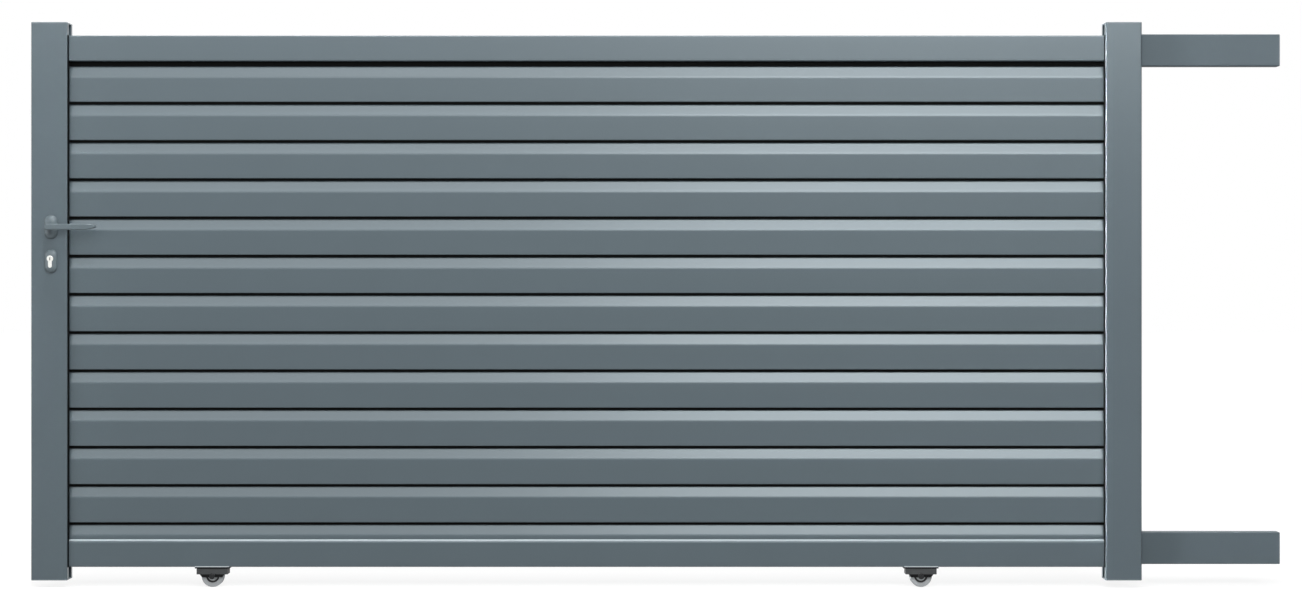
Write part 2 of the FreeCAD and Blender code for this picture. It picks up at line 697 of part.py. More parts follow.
def lever_spindle():
    """Square bar between the sockets of the two levers."""
    spindle = doc.addObject("Part::Box", "lever_spindle")
    spindle.Label = "lever_spindle"
    reach = f"({STILE_HALF} + Dim.lever_socket_depth - Dim.spindle_gap)"
    spindle.setExpression("Length", "Dim.spindle_side")
    spindle.setExpression("Width", f"2 * {reach}")
    spindle.setExpression("Height", "Dim.spindle_side")
    place(spindle, x="Dim.lock_backset - Dim.spindle_side / 2", y=f"-{reach}",
          z="Dim.lever_height - Dim.spindle_side / 2")
    pieces.append(spindle)


# Wheel units under the bottom rail

def wheel_bracket(label, wheel_place):
    """Bracket: a fixing plate over a housing with sunk panels, whose skirts hold the axle."""
    body = new_body(label)
    plate = sketch_on(body, "XY_Plane")
    rectangle(plate, "-Dim.bracket_plate_length / 2", "Dim.bracket_plate_length / 2",
              "-Dim.bracket_plate_width / 2", "Dim.bracket_plate_width / 2")
    pad(body, plate, "Dim.bracket_plate_thickness", reverse=True)
    round_edges(body, "Dim.bracket_plate_corner", lambda point: True, Z_AXIS)
    housing_top = "-Dim.bracket_plate_thickness"
    housing_foot = "-(Dim.bracket_plate_thickness + Dim.housing_depth)"
    skirt_foot = "-(Dim.bracket_plate_thickness + Dim.housing_depth + Dim.skirt_depth)"
    housing = sketch_on(body, "XZ_Plane")
    polygon(housing, [
        ("-Dim.housing_length / 2", housing_top),
        ("-Dim.housing_length / 2", housing_foot),
        ("-Dim.skirt_top_length / 2", housing_foot),
        ("-Dim.skirt_bottom_length / 2", skirt_foot),
        ("Dim.skirt_bottom_length / 2", skirt_foot),
        ("Dim.skirt_top_length / 2", housing_foot),
        ("Dim.housing_length / 2", housing_foot),
        ("Dim.housing_length / 2", housing_top),
    ])
    pad(body, housing, BRACKET_WIDTH, both_ways=True)
    panel_half = "(Dim.housing_length / 2 - Dim.housing_end_block)"
    panel_floor = f"({BRACKET_WIDTH} / 2 - Dim.housing_panel_depth)"
    for at_back in (False, True):
        panel = sketch_on(body, "XZ_Plane", f"-{panel_floor}" if at_back else panel_floor)
        rectangle(panel, f"-{panel_half}", panel_half, housing_foot, housing_top)
        pocket(body, panel, "2 * Dim.housing_panel_depth", reverse=not at_back)
    boss = sketch_on(body, "XZ_Plane")
    circle(boss, "Dim.axle_boss", y="-Dim.axle_drop")
    pad(body, boss, BRACKET_WIDTH, both_ways=True)
    inside = sketch_on(body, "XZ_Plane")
    inner_half = "(Dim.housing_length / 2 - Dim.bracket_wall)"
    rectangle(inside, f"-{inner_half}", inner_half, "-(Dim.axle_drop + Dim.wheel_diameter)", housing_top)
    pocket(body, inside, WHEEL_SPACE, both_ways=True)
    slot = sketch_on(body, "XY_Plane")
    rectangle(slot, "-Dim.wheel_slot_length / 2", "Dim.wheel_slot_length / 2",
              f"-{WHEEL_SPACE} / 2", f"{WHEEL_SPACE} / 2")
    pocket(body, slot, "2 * Dim.bracket_plate_thickness", both_ways=True)
    axle_hole = sketch_on(body, "XZ_Plane")
    circle(axle_hole, "Dim.axle_diameter + 2 * Dim.axle_gap", y="-Dim.axle_drop")
    pocket(body, axle_hole, f"2 * {BRACKET_WIDTH}", both_ways=True)
    place(body, x=wheel_place, z="Dim.rail_inset")


def axle(label, wheel_place):
    """Headed pin across the bracket's skirts."""
    body = new_body(label)
    section = sketch_on(body, "XY_Plane")
    inner = f"({BRACKET_WIDTH} / 2)"
    outer = f"({BRACKET_WIDTH} / 2 + Dim.axle_head_thickness)"
    radius = "Dim.axle_diameter / 2"
    head = "Dim.axle_head_diameter / 2"
    polygon(section, [
        ("0", f"-{outer}"),
        (head, f"-{outer}"),
        (head, f"-{inner}"),
        (radius, f"-{inner}"),
        (radius, inner),
        (head, inner),
        (head, outer),
        ("0", outer),
    ])
    turned(body, "Revolution", section)
    place(body, x=wheel_place, z=AXLE_HEIGHT)


def wheel(label, wheel_place):
    """Wheel with a round groove for a bar track and a recess in each side round its bearing."""
    body = new_body(label)
    section = sketch_on(body, "XY_Plane")
    side = "(Dim.wheel_width / 2)"
    web = "(Dim.wheel_width / 2 - Dim.wheel_recess_depth)"
    rim = "(Dim.wheel_diameter / 2)"
    bore = "(Dim.bearing_diameter / 2 + Dim.bearing_gap)"
    recess = "(Dim.wheel_recess_diameter / 2)"
    polygon(section, [
        (bore, f"-{web}"),
        (recess, f"-{web}"),
        (recess, f"-{side}"),
        (f"{rim} - Dim.wheel_edge", f"-{side}"),
        (rim, f"-({side} - Dim.wheel_edge)"),
        (rim, f"{side} - Dim.wheel_edge"),
        (f"{rim} - Dim.wheel_edge", side),
        (recess, side),
        (recess, web),
        (bore, web),
    ])
    turned(body, "Revolution", section)
    track = sketch_on(body, "XY_Plane")
    circle(track, "2 * Dim.wheel_groove_radius",
           f"{rim} + Dim.wheel_groove_radius - Dim.wheel_groove_depth")
    turned(body, "Groove", track)
    place(body, x=wheel_place, z=AXLE_HEIGHT)


def wheel_bearing(label, wheel_place):
    """Bearing in the wheel's bore with a spacer at each side up to the skirts."""
    body = new_body(label)
    section = sketch_on(body, "XY_Plane")
    bore = "(Dim.axle_diameter / 2 + Dim.bearing_gap)"
    ring = "(Dim.bearing_diameter / 2)"
    spacer = "(Dim.bearing_spacer / 2)"
    ring_side = "(Dim.wheel_width / 2 - Dim.wheel_recess_depth + Dim.bearing_proud)"
    spacer_end = f"({WHEEL_SPACE} / 2 - Dim.spacer_gap)"
    polygon(section, [
        (bore, f"-{spacer_end}"),
        (spacer, f"-{spacer_end}"),
        (spacer, f"-{ring_side}"),
        (ring, f"-{ring_side}"),
        (ring, ring_side),
        (spacer, ring_side),
        (spacer, spacer_end),
        (bore, spacer_end),
    ])
    turned(body, "Revolution", section)
    place(body, x=wheel_place, z=AXLE_HEIGHT)


def wheel_unit(name, wheel_place):
    wheel_bracket(f"{name}_wheel_bracket", wheel_place)
    axle(f"{name}_wheel_axle", wheel_place)
    wheel(f"{name}_wheel", wheel_place)
    wheel_bearing(f"{name}_wheel_bearing", wheel_place)


# Assembly

lock_stile()
place(stile_cap("lock_stile_top_cap"), z="Dim.stile_length")
place(stile_cap("lock_stile_bottom_cap"), turn=HALF_TURN_ABOUT_X)
place(stile("tail_stile"), x="Dim.leaf_width", turn=HALF_TURN_ABOUT_Z)
place(stile_cap("tail_stile_top_cap"), x="Dim.leaf_width", z="Dim.stile_length", turn=HALF_TURN_ABOUT_Z)
place(stile_cap("tail_stile_bottom_cap"), x="Dim.leaf_width", turn=HALF_TURN_ABOUT_Y)
place(rail("top_rail"), x="Dim.stile_face", z=TOP_RAIL_TOP, turn=HALF_TURN_ABOUT_X)
bottom_rail()
slat_stack()
for name, base in (("top", "(Dim.stile_length - Dim.top_tail_inset - Dim.tail_height)"),
                   ("bottom", "Dim.bottom_tail_inset")):
    guide_tail(f"{name}_guide_tail", base)
    tail_cap(f"{name}_tail_cap", base)
lock_forend()
lock_case()
hook_bolt()
lock_cylinder()
for name, at_back in (("front", False), ("back", True)):
    lever_rose(f"{name}_lever_rose", at_back)
    cylinder_rose(f"{name}_cylinder_rose", at_back)
    lever(f"{name}_lever", at_back)
lever_spindle()
wheel_unit("front", "Dim.front_wheel_inset")
wheel_unit("rear", REAR_WHEEL_PLACE)

doc.recompute()
for item in doc.Objects:
    if "Invalid" in item.State or "Error" in item.State:
        raise RuntimeError(f"{item.Label} failed: {item.State}")
for piece in pieces:
    if piece.Shape.isNull() or not piece.Shape.isValid() or len(piece.Shape.Solids) != 1:
        raise RuntimeError(f"{piece.Label} is not one sound solid")

os.makedirs("parts", exist_ok=True)
for piece in pieces:
    piece.Shape.exportStep(os.path.join("parts", f"{piece.Label}.step"))
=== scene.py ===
"""Looks of a sliding driveway gate leaf in blue grey powder coated aluminium.

The frame's solids stay where they are. The whole slats and the roses are drawn again in a finer form;
black strips that paint the shade in the slats' gaps and beside the stiles, pale beads that paint a
highlight along the bottom rail, dark sheets that paint the shade in the key slots, wheel seals,
bracket lips, key plugs and screws are added; the other surfaces get the finish of their real material,
and a pale studio with the photograph's camera stands round the leaf.
"""

import logging
import math
from dataclasses import dataclass
from enum import Enum

import bmesh
import bpy
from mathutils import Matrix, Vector

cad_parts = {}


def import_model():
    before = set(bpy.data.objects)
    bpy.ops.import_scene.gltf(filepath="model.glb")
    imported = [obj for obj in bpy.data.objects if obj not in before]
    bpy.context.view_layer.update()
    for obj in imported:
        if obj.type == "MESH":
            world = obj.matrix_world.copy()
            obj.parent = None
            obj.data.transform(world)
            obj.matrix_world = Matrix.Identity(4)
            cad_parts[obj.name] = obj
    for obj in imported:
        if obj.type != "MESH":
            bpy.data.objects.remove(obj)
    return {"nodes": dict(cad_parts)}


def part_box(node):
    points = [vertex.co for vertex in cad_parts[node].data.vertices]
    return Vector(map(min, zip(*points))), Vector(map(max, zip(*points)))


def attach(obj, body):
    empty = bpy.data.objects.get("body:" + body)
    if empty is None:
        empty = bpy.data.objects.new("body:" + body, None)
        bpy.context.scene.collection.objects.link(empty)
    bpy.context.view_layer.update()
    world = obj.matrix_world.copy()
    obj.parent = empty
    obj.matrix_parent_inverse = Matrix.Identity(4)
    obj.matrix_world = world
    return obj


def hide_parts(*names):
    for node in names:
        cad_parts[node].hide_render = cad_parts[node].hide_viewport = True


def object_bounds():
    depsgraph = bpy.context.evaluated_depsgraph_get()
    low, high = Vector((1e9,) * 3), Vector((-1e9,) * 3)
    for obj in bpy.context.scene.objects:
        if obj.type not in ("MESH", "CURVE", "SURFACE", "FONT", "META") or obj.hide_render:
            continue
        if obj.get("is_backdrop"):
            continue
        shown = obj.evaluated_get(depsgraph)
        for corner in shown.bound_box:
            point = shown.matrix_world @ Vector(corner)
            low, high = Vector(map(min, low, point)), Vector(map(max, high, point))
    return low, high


LOG = logging.getLogger("gate_leaf")
MM = 0.001
WELD = 0.001 * MM
Nodes = dict[str, bpy.types.Object]
Outline = list[tuple[float, float]]
Sizes = dict[str, object]
Tree = bpy.types.NodeTree
Node = bpy.types.Node
Socket = bpy.types.NodeSocket
SOCKETS = {
    float: "NodeSocketFloat",
    int: "NodeSocketInt",
    bpy.types.Material: "NodeSocketMaterial",
    bpy.types.Mesh: "NodeSocketGeometry",
}


class Body(Enum):
    """The bodies of the leaf, by their names in the frame."""

    LEAF = "leaf"
    LEVERS = "lever_set"
    FRONT_WHEEL = "front_wheel_set"
    REAR_WHEEL = "rear_wheel_set"


class Slot(Enum):
    """Names of material slots; no piece here takes its finish from them."""

    LEAF_COAT = "leaf_coat"
    CAP_PLASTIC = "cap_plastic"
    HANDLE_COAT = "handle_coat"
    CYLINDER_NICKEL = "cylinder_nickel"
    PLAIN_STEEL = "plain_steel"


def linear(colour: str) -> tuple[float, float, float, float]:
    """Turns an sRGB hex colour into linear light.

    Args:
        colour: a hash sign and six hex digits.

    Returns:
        Linear red, green and blue, and an alpha of one.
    """
    parts = [int(colour[start : start + 2], 16) / 255 for start in (1, 3, 5)]
    red, green, blue = (p / 12.92 if p <= 0.04045 else ((p + 0.055) / 1.055) ** 2.4 for p in parts)
    return red, green, blue, 1.0


def add_node(
    tree: Tree,
    kind: str,
    settings: dict[str, object] | None = None,
    inputs: dict[str | int, object] | None = None,
) -> Node:
    """Adds one node with its settings and links.

    Args:
        tree: the node tree that it joins.
        kind: Blender's name for the type of node.
        settings: properties of the node itself.
        inputs: for each input, the socket that it is linked from or a plain value.

    Returns:
        The new node.
    """
    node = tree.nodes.new(kind)
    for name, setting in (settings or {}).items():
        setattr(node, name, setting)
    for name, source in (inputs or {}).items():
        if isinstance(source, Socket):
            tree.links.new(source, node.inputs[name])
        else:
            node.inputs[name].default_value = source
    return node


@dataclass(frozen=True)
class Finish:
    """A surface, named for its material and how it was made."""

    name: str
    colour: str
    roughness: float
    metallic: float = 0.0
    ior: float = 1.5
    gloss: str = "#ffffff"
    tone_spread: float = 0.05
    rough_spread: float = 0.05
    relief_mm: float = 0.01

    def material(self) -> bpy.types.Material:
        """Gives the finish's material, built on its first use.

        Returns:
            The material.
        """
        known = bpy.data.materials.get(self.name)
        if known:
            return known
        made = bpy.data.materials.new(self.name)
        made.use_nodes = True
        shader = made.node_tree.nodes["Principled BSDF"]
        shader.inputs["Metallic"].default_value = self.metallic
        shader.inputs["IOR"].default_value = self.ior
        shader.inputs["Specular Tint"].default_value = linear(self.gloss)
        place = add_node(made.node_tree, "ShaderNodeTexCoord").outputs["Object"]
        self.draw(made.node_tree, shader, place)
        return made

    def draw(self, tree: Tree, shader: Node, place: Socket) -> None:
        """Draws the surface's pattern; each kind of finish has its own.

        Args:
            tree: the material's nodes.
            shader: its Principled shader.
            place: the Object coordinates, in metres.
        """
        raise NotImplementedError

    def vary(self, tree: Tree, shader: Node, tone: Socket, rough: Socket, height: Socket) -> None:
        """Lets the colour, the roughness and the height of the surface follow patterns from zero to one.

        Args:
            tree: the material's nodes.
            shader: its Principled shader.
            tone: where the colour runs from darker to lighter.
            rough: where the surface runs from smoother to rougher.
            height: where the surface rises.
        """
        red, green, blue, alpha = linear(self.colour)
        shares = (1 - self.tone_spread, 1 + self.tone_spread)
        dark, light = ((red * share, green * share, blue * share, alpha) for share in shares)
        mix = add_node(tree, "ShaderNodeMix", {"data_type": "RGBA"}, {0: tone, 6: dark, 7: light})
        low, high = self.roughness - self.rough_spread, self.roughness + self.rough_spread
        ends = {"Value": rough, "To Min": low, "To Max": high}
        ranged = add_node(tree, "ShaderNodeMapRange", inputs=ends)
        relief = {"Height": height, "Distance": self.relief_mm * MM, "Strength": 1.0}
        bump = add_node(tree, "ShaderNodeBump", inputs=relief)
        tree.links.new(mix.outputs[2], shader.inputs["Base Color"])
        tree.links.new(ranged.outputs["Result"], shader.inputs["Roughness"])
        tree.links.new(bump.outputs["Normal"], shader.inputs["Normal"])


@dataclass(frozen=True)
class PowderCoat(Finish):
    """Polyester powder, sprayed and baked on aluminium.

    It gives the eye a satin blue grey with the fine grain of melted powder, a slow mottle where the
    film is thicker, and soft highlights that widen along bends.
    """

    relief_mm: float = 0.02
    grain_mm: float = 0.9
    mottle_mm: float = 140.0

    def draw(self, tree: Tree, shader: Node, place: Socket) -> None:
        """Draws the mottle of the film and the grain of the powder."""
        slow = {"Vector": place, "Scale": 1 / (self.mottle_mm * MM), "Detail": 3.0}
        fine = {"Vector": place, "Scale": 1 / (self.grain_mm * MM), "Detail": 2.0}
        mottle = add_node(tree, "ShaderNodeTexNoise", inputs=slow).outputs["Fac"]
        grain = add_node(tree, "ShaderNodeTexNoise", inputs=fine).outputs["Fac"]
        self.vary(tree, shader, mottle, grain, grain)


@dataclass(frozen=True)
class MouldedPlastic(Finish):
    """Injection moulded plastic from a spark eroded tool.

    It gives the eye an even, dull skin with a pebbled grain and hardly any gloss.
    """

    tone_spread: float = 0.08
    rough_spread: float = 0.06
    relief_mm: float = 0.03
    pebble_mm: float = 0.6
    cloud_mm: float = 25.0

    def draw(self, tree: Tree, shader: Node, place: Socket) -> None:
        """Draws the pebbles of the tool's eroded skin, and a slow cloud in the colour."""
        fine = {"Vector": place, "Scale": 1 / (self.pebble_mm * MM)}
        slow = {"Vector": place, "Scale": 1 / (self.cloud_mm * MM)}
        pebbles = add_node(tree, "ShaderNodeTexVoronoi", inputs=fine).outputs["Distance"]
        cloud = add_node(tree, "ShaderNodeTexNoise", inputs=slow).outputs["Fac"]
        self.vary(tree, shader, cloud, pebbles, pebbles)


@dataclass(frozen=True)
class BrushedMetal(Finish):
    """Metal drawn over an abrasive belt along the leaf's height.

    It gives the eye fine upright lines that stretch each highlight across them.
    """

    tone_spread: float = 0.1
    rough_spread: float = 0.08
    relief_mm: float = 0.006
    line_mm: float = 0.25
    line_length_mm: float = 30.0

    def draw(self, tree: Tree, shader: Node, place: Socket) -> None:
        """Draws the belt's lines as noise stretched along Z."""
        across, along = 1 / (self.line_mm * MM), 1 / (self.line_length_mm * MM)
        stretch = {"Vector": place, "Scale": (across, across, along)}
        stretched = add_node(tree, "ShaderNodeMapping", inputs=stretch).outputs["Vector"]
        drawn = {"Vector": stretched, "Scale": 1.0, "Detail": 3.0}
        lines = add_node(tree, "ShaderNodeTexNoise", inputs=drawn).outputs["Fac"]
        self.vary(tree, shader, lines, lines, lines)


@dataclass(frozen=True)
class TurnedSteel(Finish):
    """Steel turned on a lathe and zinc plated.

    It gives the eye pale grey metal with rings left by the tool, coarser here than the real 0.2 mm so
    that they show, and a cloudy bloom of zinc.
    """

    tone_spread: float = 0.15
    rough_spread: float = 0.08
    relief_mm: float = 0.008
    centre: tuple[float, float, float] = (0.0, 0.0, 0.0)
    ring_mm: float = 0.7
    bloom_mm: float = 9.0

    def draw(self, tree: Tree, shader: Node, place: Socket) -> None:
        """Draws the tool's rings round the axle and the bloom of the zinc."""
        shift = {"Vector": place, "Location": [-part for part in self.centre]}
        about_axle = add_node(tree, "ShaderNodeMapping", inputs=shift).outputs["Vector"]
        # At a scale of one the rings lie pi / 10 metres apart
        wave = {"Vector": about_axle, "Scale": math.pi / (10 * self.ring_mm * MM)}
        about_y = {"wave_type": "RINGS", "rings_direction": "Y"}
        rings = add_node(tree, "ShaderNodeTexWave", about_y, wave).outputs["Fac"]
        cloudy = {"Vector": place, "Scale": 1 / (self.bloom_mm * MM), "Detail": 4.0}
        bloom = add_node(tree, "ShaderNodeTexNoise", inputs=cloudy).outputs["Fac"]
        self.vary(tree, shader, bloom, bloom, rings)


@dataclass(frozen=True)
class Speckled(Finish):
    """A surface with one even pattern all over it."""

    speckle_mm: float = 1.0
    detail: float = 2.0

    def draw(self, tree: Tree, shader: Node, place: Socket) -> None:
        """Draws the speckles, alike in colour, gloss and height."""
        even = {"Vector": place, "Scale": 1 / (self.speckle_mm * MM), "Detail": self.detail}
        speckles = add_node(tree, "ShaderNodeTexNoise", inputs=even).outputs["Fac"]
        self.vary(tree, shader, speckles, speckles, speckles)


@dataclass(frozen=True)
class Rubber(Speckled):
    """Extruded rubber, talc dusted when it left the die.

    It gives the eye a deep black with a faint dusty bloom and no clear highlight.
    """

    tone_spread: float = 0.3
    speckle_mm: float = 4.0
    detail: float = 4.0


@dataclass(frozen=True)
class ShadePile(Speckled):
    """Near black strip, made up as woven pile, that paints the shade where gaps and corners only hold
    shade.

    It gives the eye a painted line of shade with hardly any shine.
    """

    tone_spread: float = 0.4
    relief_mm: float = 0.1
    speckle_mm: float = 0.3


@dataclass(frozen=True)
class HighlightBead(Speckled):
    """Painted highlight: a pale grey bead, made up as tooled silicone, that stands in for a highlight.

    It gives the eye a pale line of painted highlight with a soft sheen that ripples slowly along it.
    """

    tone_spread: float = 0.06
    rough_spread: float = 0.08
    relief_mm: float = 0.2
    speckle_mm: float = 30.0


@dataclass(frozen=True)
class BandedEnamel(PowderCoat):
    """Baked enamel on pressed steel: a dark grey housing between a plate and a skirt in black.

    It gives the eye a dull dark box with a black edge over it and a black hem under it.
    """

    dip_colour: str = "#0b0c0d"
    housing_low: float = 0.0
    housing_high: float = 1.0

    def draw(self, tree: Tree, shader: Node, place: Socket) -> None:
        """Draws the enamel's grain, and black above and below the housing."""
        super().draw(tree, shader, place)
        skin = shader.inputs["Base Color"].links[0].from_socket
        height = add_node(tree, "ShaderNodeSeparateXYZ", inputs={0: place}).outputs["Z"]
        middle = (self.housing_low + self.housing_high) / 2
        half = (self.housing_high - self.housing_low) / 2
        within = {0: height, 1: middle, 2: half}
        housing = add_node(tree, "ShaderNodeMath", {"operation": "COMPARE"}, within).outputs[0]
        bands = {0: housing, 6: linear(self.dip_colour), 7: skin}
        dipped = add_node(tree, "ShaderNodeMix", {"data_type": "RGBA"}, bands)
        tree.links.new(dipped.outputs[2], shader.inputs["Base Color"])


LEAF_COAT = PowderCoat("powder_coated_aluminium", "#424d53", 0.3, ior=1.6, gloss="#effaff")
TAIL_COAT = PowderCoat("matt_powder_coated_aluminium", "#4a555b", 0.7, ior=1.4)
HANDLE_COAT = PowderCoat(
    "powder_coated_die_cast_zinc", "#525d62", 0.4, ior=1.4, relief_mm=0.006, grain_mm=1.4
)
CAP_PLASTIC = MouldedPlastic("moulded_asa_plastic", "#59646a", 0.5)
AXLE_STEEL = BrushedMetal("black_zinc_plated_steel", "#1c1d1e", 0.45, 0.6)
CYLINDER_NICKEL = BrushedMetal("brushed_nickel_plate", "#e4e4e0", 0.28, 1.0)
LOCK_STEEL = BrushedMetal("brushed_zinc_plated_steel", "#b9bcbe", 0.32, 1.0)
LIP_ZINC = BrushedMetal("galvanised_sheet_steel", "#a9b0b4", 0.45, 0.8, line_mm=2.0, line_length_mm=4.0)
SEAL_RUBBER = Rubber("extruded_epdm_rubber", "#0d0e0f", 0.7)
# Painted shade: near black strips laid in the slats' gaps and beside the stiles
SHADE_PILE = ShadePile("painted_shade_black", "#060707", 0.9, ior=1.15)
# Painted highlight: a pale bead stands in for the light caught along the bottom rail's top edge
HIGHLIGHT_BEAD = HighlightBead("painted_highlight_bead", "#a3adb2", 0.4, ior=1.4)
BRACKET_ENAMEL = BandedEnamel(
    "enamelled_pressed_steel", "#454748", 0.5, ior=1.2, housing_low=11.0 * MM, housing_high=26.5 * MM
)


class Shape:
    """A mesh in the making, in metres in the leaf's own frame."""

    def __init__(self) -> None:
        """Starts with nothing in it."""
        self.mesh = bmesh.new()

    def sleeve(self, rings: list[list[Vector]], closed: bool = True) -> None:
        """Adds a wall through rings of points.

        Args:
            rings: closed rings, each with as many points as the others.
            closed: whether the wall goes on from the last ring to the first, or else has flat ends.
        """
        made = [[self.mesh.verts.new(point) for point in ring] for ring in rings]
        following = made[1:] + made[:1] if closed else made[1:]
        for ring, other in zip(made, following):
            for i in range(len(ring)):
                j = (i + 1) % len(ring)
                self.mesh.faces.new((ring[i], ring[j], other[j], other[i]))
        if not closed:
            self.mesh.faces.new(made[0])
            self.mesh.faces.new(made[-1][::-1])

    def turned(self, outline: Outline, centre: Vector, segments: int = 48) -> None:
        """Adds a ring turned about an axis along Y.

        Args:
            outline: the closed section, as pairs of radius and distance along Y.
            centre: a point on the axis, from which Y is measured.
            segments: how many steps the turn has.
        """
        turns = [math.tau * step / segments for step in range(segments)]
        self.sleeve(
            [[centre + Vector((r * math.cos(a), y, r * math.sin(a))) for r, y in outline] for a in turns]
        )

    def prism(self, corners: list[Vector], depth: Vector) -> None:
        """Adds a prism.

        Args:
            corners: the outline of its foot, in order.
            depth: from the foot to the other end.
        """
        self.sleeve([corners, [corner + depth for corner in corners]], closed=False)

    def strips(self, section: Outline, start: float, end: float) -> None:
        """Adds two strips along X, one at the front and the same at the back.

        Args:
            section: the outline of one, as pairs of distance from the middle plane and height.
            start: where they start.
            end: where they end.
        """
        for face in (-1, 1):
            corners = [Vector((start, face * y, z)) for y, z in section]
            self.prism(corners, Vector((end - start, 0, 0)))

    def piece(self, name: str, finish: Finish, crease_degrees: float = 35.0) -> bpy.types.Object:
        """Makes the mesh a piece of the scene.

        Args:
            name: the piece's name.
            finish: its surface.
            crease_degrees: bends sharper than this stay sharp.

        Returns:
            The new object, at the origin.
        """
        bmesh.ops.remove_doubles(self.mesh, verts=self.mesh.verts[:], dist=WELD)
        bmesh.ops.recalc_face_normals(self.mesh, faces=self.mesh.faces[:])
        data = bpy.data.meshes.new(name)
        self.mesh.to_mesh(data)
        self.mesh.free()
        return settle(bpy.data.objects.new(name, data), finish, crease_degrees)


def settle(piece: bpy.types.Object, finish: Finish, crease_degrees: float) -> bpy.types.Object:
    """Smooths a piece between its creases, dresses it and puts it in the scene.

    Args:
        piece: the object, at the origin.
        finish: its surface.
        crease_degrees: bends sharper than this stay sharp.

    Returns:
        The same object.
    """
    piece.data.shade_smooth()
    piece.data.set_sharp_from_angle(angle=math.radians(crease_degrees))
    piece.data.materials.clear()
    piece.data.materials.append(finish.material())
    if piece.name not in bpy.context.scene.collection.objects:
        bpy.context.scene.collection.objects.link(piece)
    return piece


def geometry_tree(name: str, values: Sizes) -> tuple[Tree, Node]:
    """Starts a geometry tree with a named input for each value that it will be given.

    Args:
        name: the tree's name.
        values: the values, each by the name of its input.

    Returns:
        The tree and its input node.
    """
    tree = bpy.data.node_groups.new(name, "GeometryNodeTree")
    tree.interface.new_socket("Geometry", in_out="OUTPUT", socket_type=SOCKETS[bpy.types.Mesh])
    for size, value in values.items():
        tree.interface.new_socket(size, in_out="INPUT", socket_type=SOCKETS[type(value)])
    return tree, tree.nodes.new("NodeGroupInput")


def close_tree(tree: Tree, instances: Socket, material: Socket) -> None:
    """Ends a geometry tree: its instances become one mesh with one material.

    Args:
        tree: the geometry tree.
        instances: what it has made so far.
        material: the material's input.
    """
    real = add_node(tree, "GeometryNodeRealizeInstances", inputs={"Geometry": instances})
    coat = {"Geometry": real.outputs["Geometry"], "Material": material}
    coated = add_node(tree, "GeometryNodeSetMaterial", inputs=coat)
    add_node(tree, "NodeGroupOutput", inputs={"Geometry": coated.outputs["Geometry"]})


def flatten(piece: bpy.types.Object) -> None:
    """Makes what an object's modifiers give its plain mesh.

    Args:
        piece: the object, which is in the scene.
    """
    graph = bpy.context.evaluated_depsgraph_get()
    made = bpy.data.meshes.new_from_object(piece.evaluated_get(graph))
    piece.modifiers.clear()
    piece.data = made


def grow(tree: Tree, values: Sizes, seed: bpy.types.Object) -> None:
    """Runs a geometry tree on an object and keeps the result as its plain mesh.

    Args:
        tree: the geometry tree.
        values: a value for each of its inputs; a mesh among them is the object's own.
        seed: the object that the tree grows on.
    """
    bpy.context.scene.collection.objects.link(seed)
    modifier = seed.modifiers.new(tree.name, "NODES")
    modifier.node_group = tree
    for item in tree.interface.items_tree:
        if item.in_out == "INPUT" and item.socket_type != SOCKETS[bpy.types.Mesh]:
            modifier[item.identifier] = values[item.name]
    flatten(seed)


def dress(nodes: Nodes, names: list[str], finish: Finish) -> None:
    """Gives solids of the frame their finish.

    Args:
        nodes: the frame's solids.
        names: which of them.
        finish: their surface.
    """
    for name in names:
        nodes[name].material_slots[0].material = finish.material()
        LOG.info("dressed %s in %s", name, finish.name)


def report(piece: bpy.types.Object, body: Body) -> None:
    """Seats a finished piece on its body and logs it.

    Args:
        piece: the finished piece.
        body: the body that it moves with.
    """
    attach(piece, body.value)
    LOG.info("built %s on %s, %d faces", piece.name, body.value, len(piece.data.polygons))


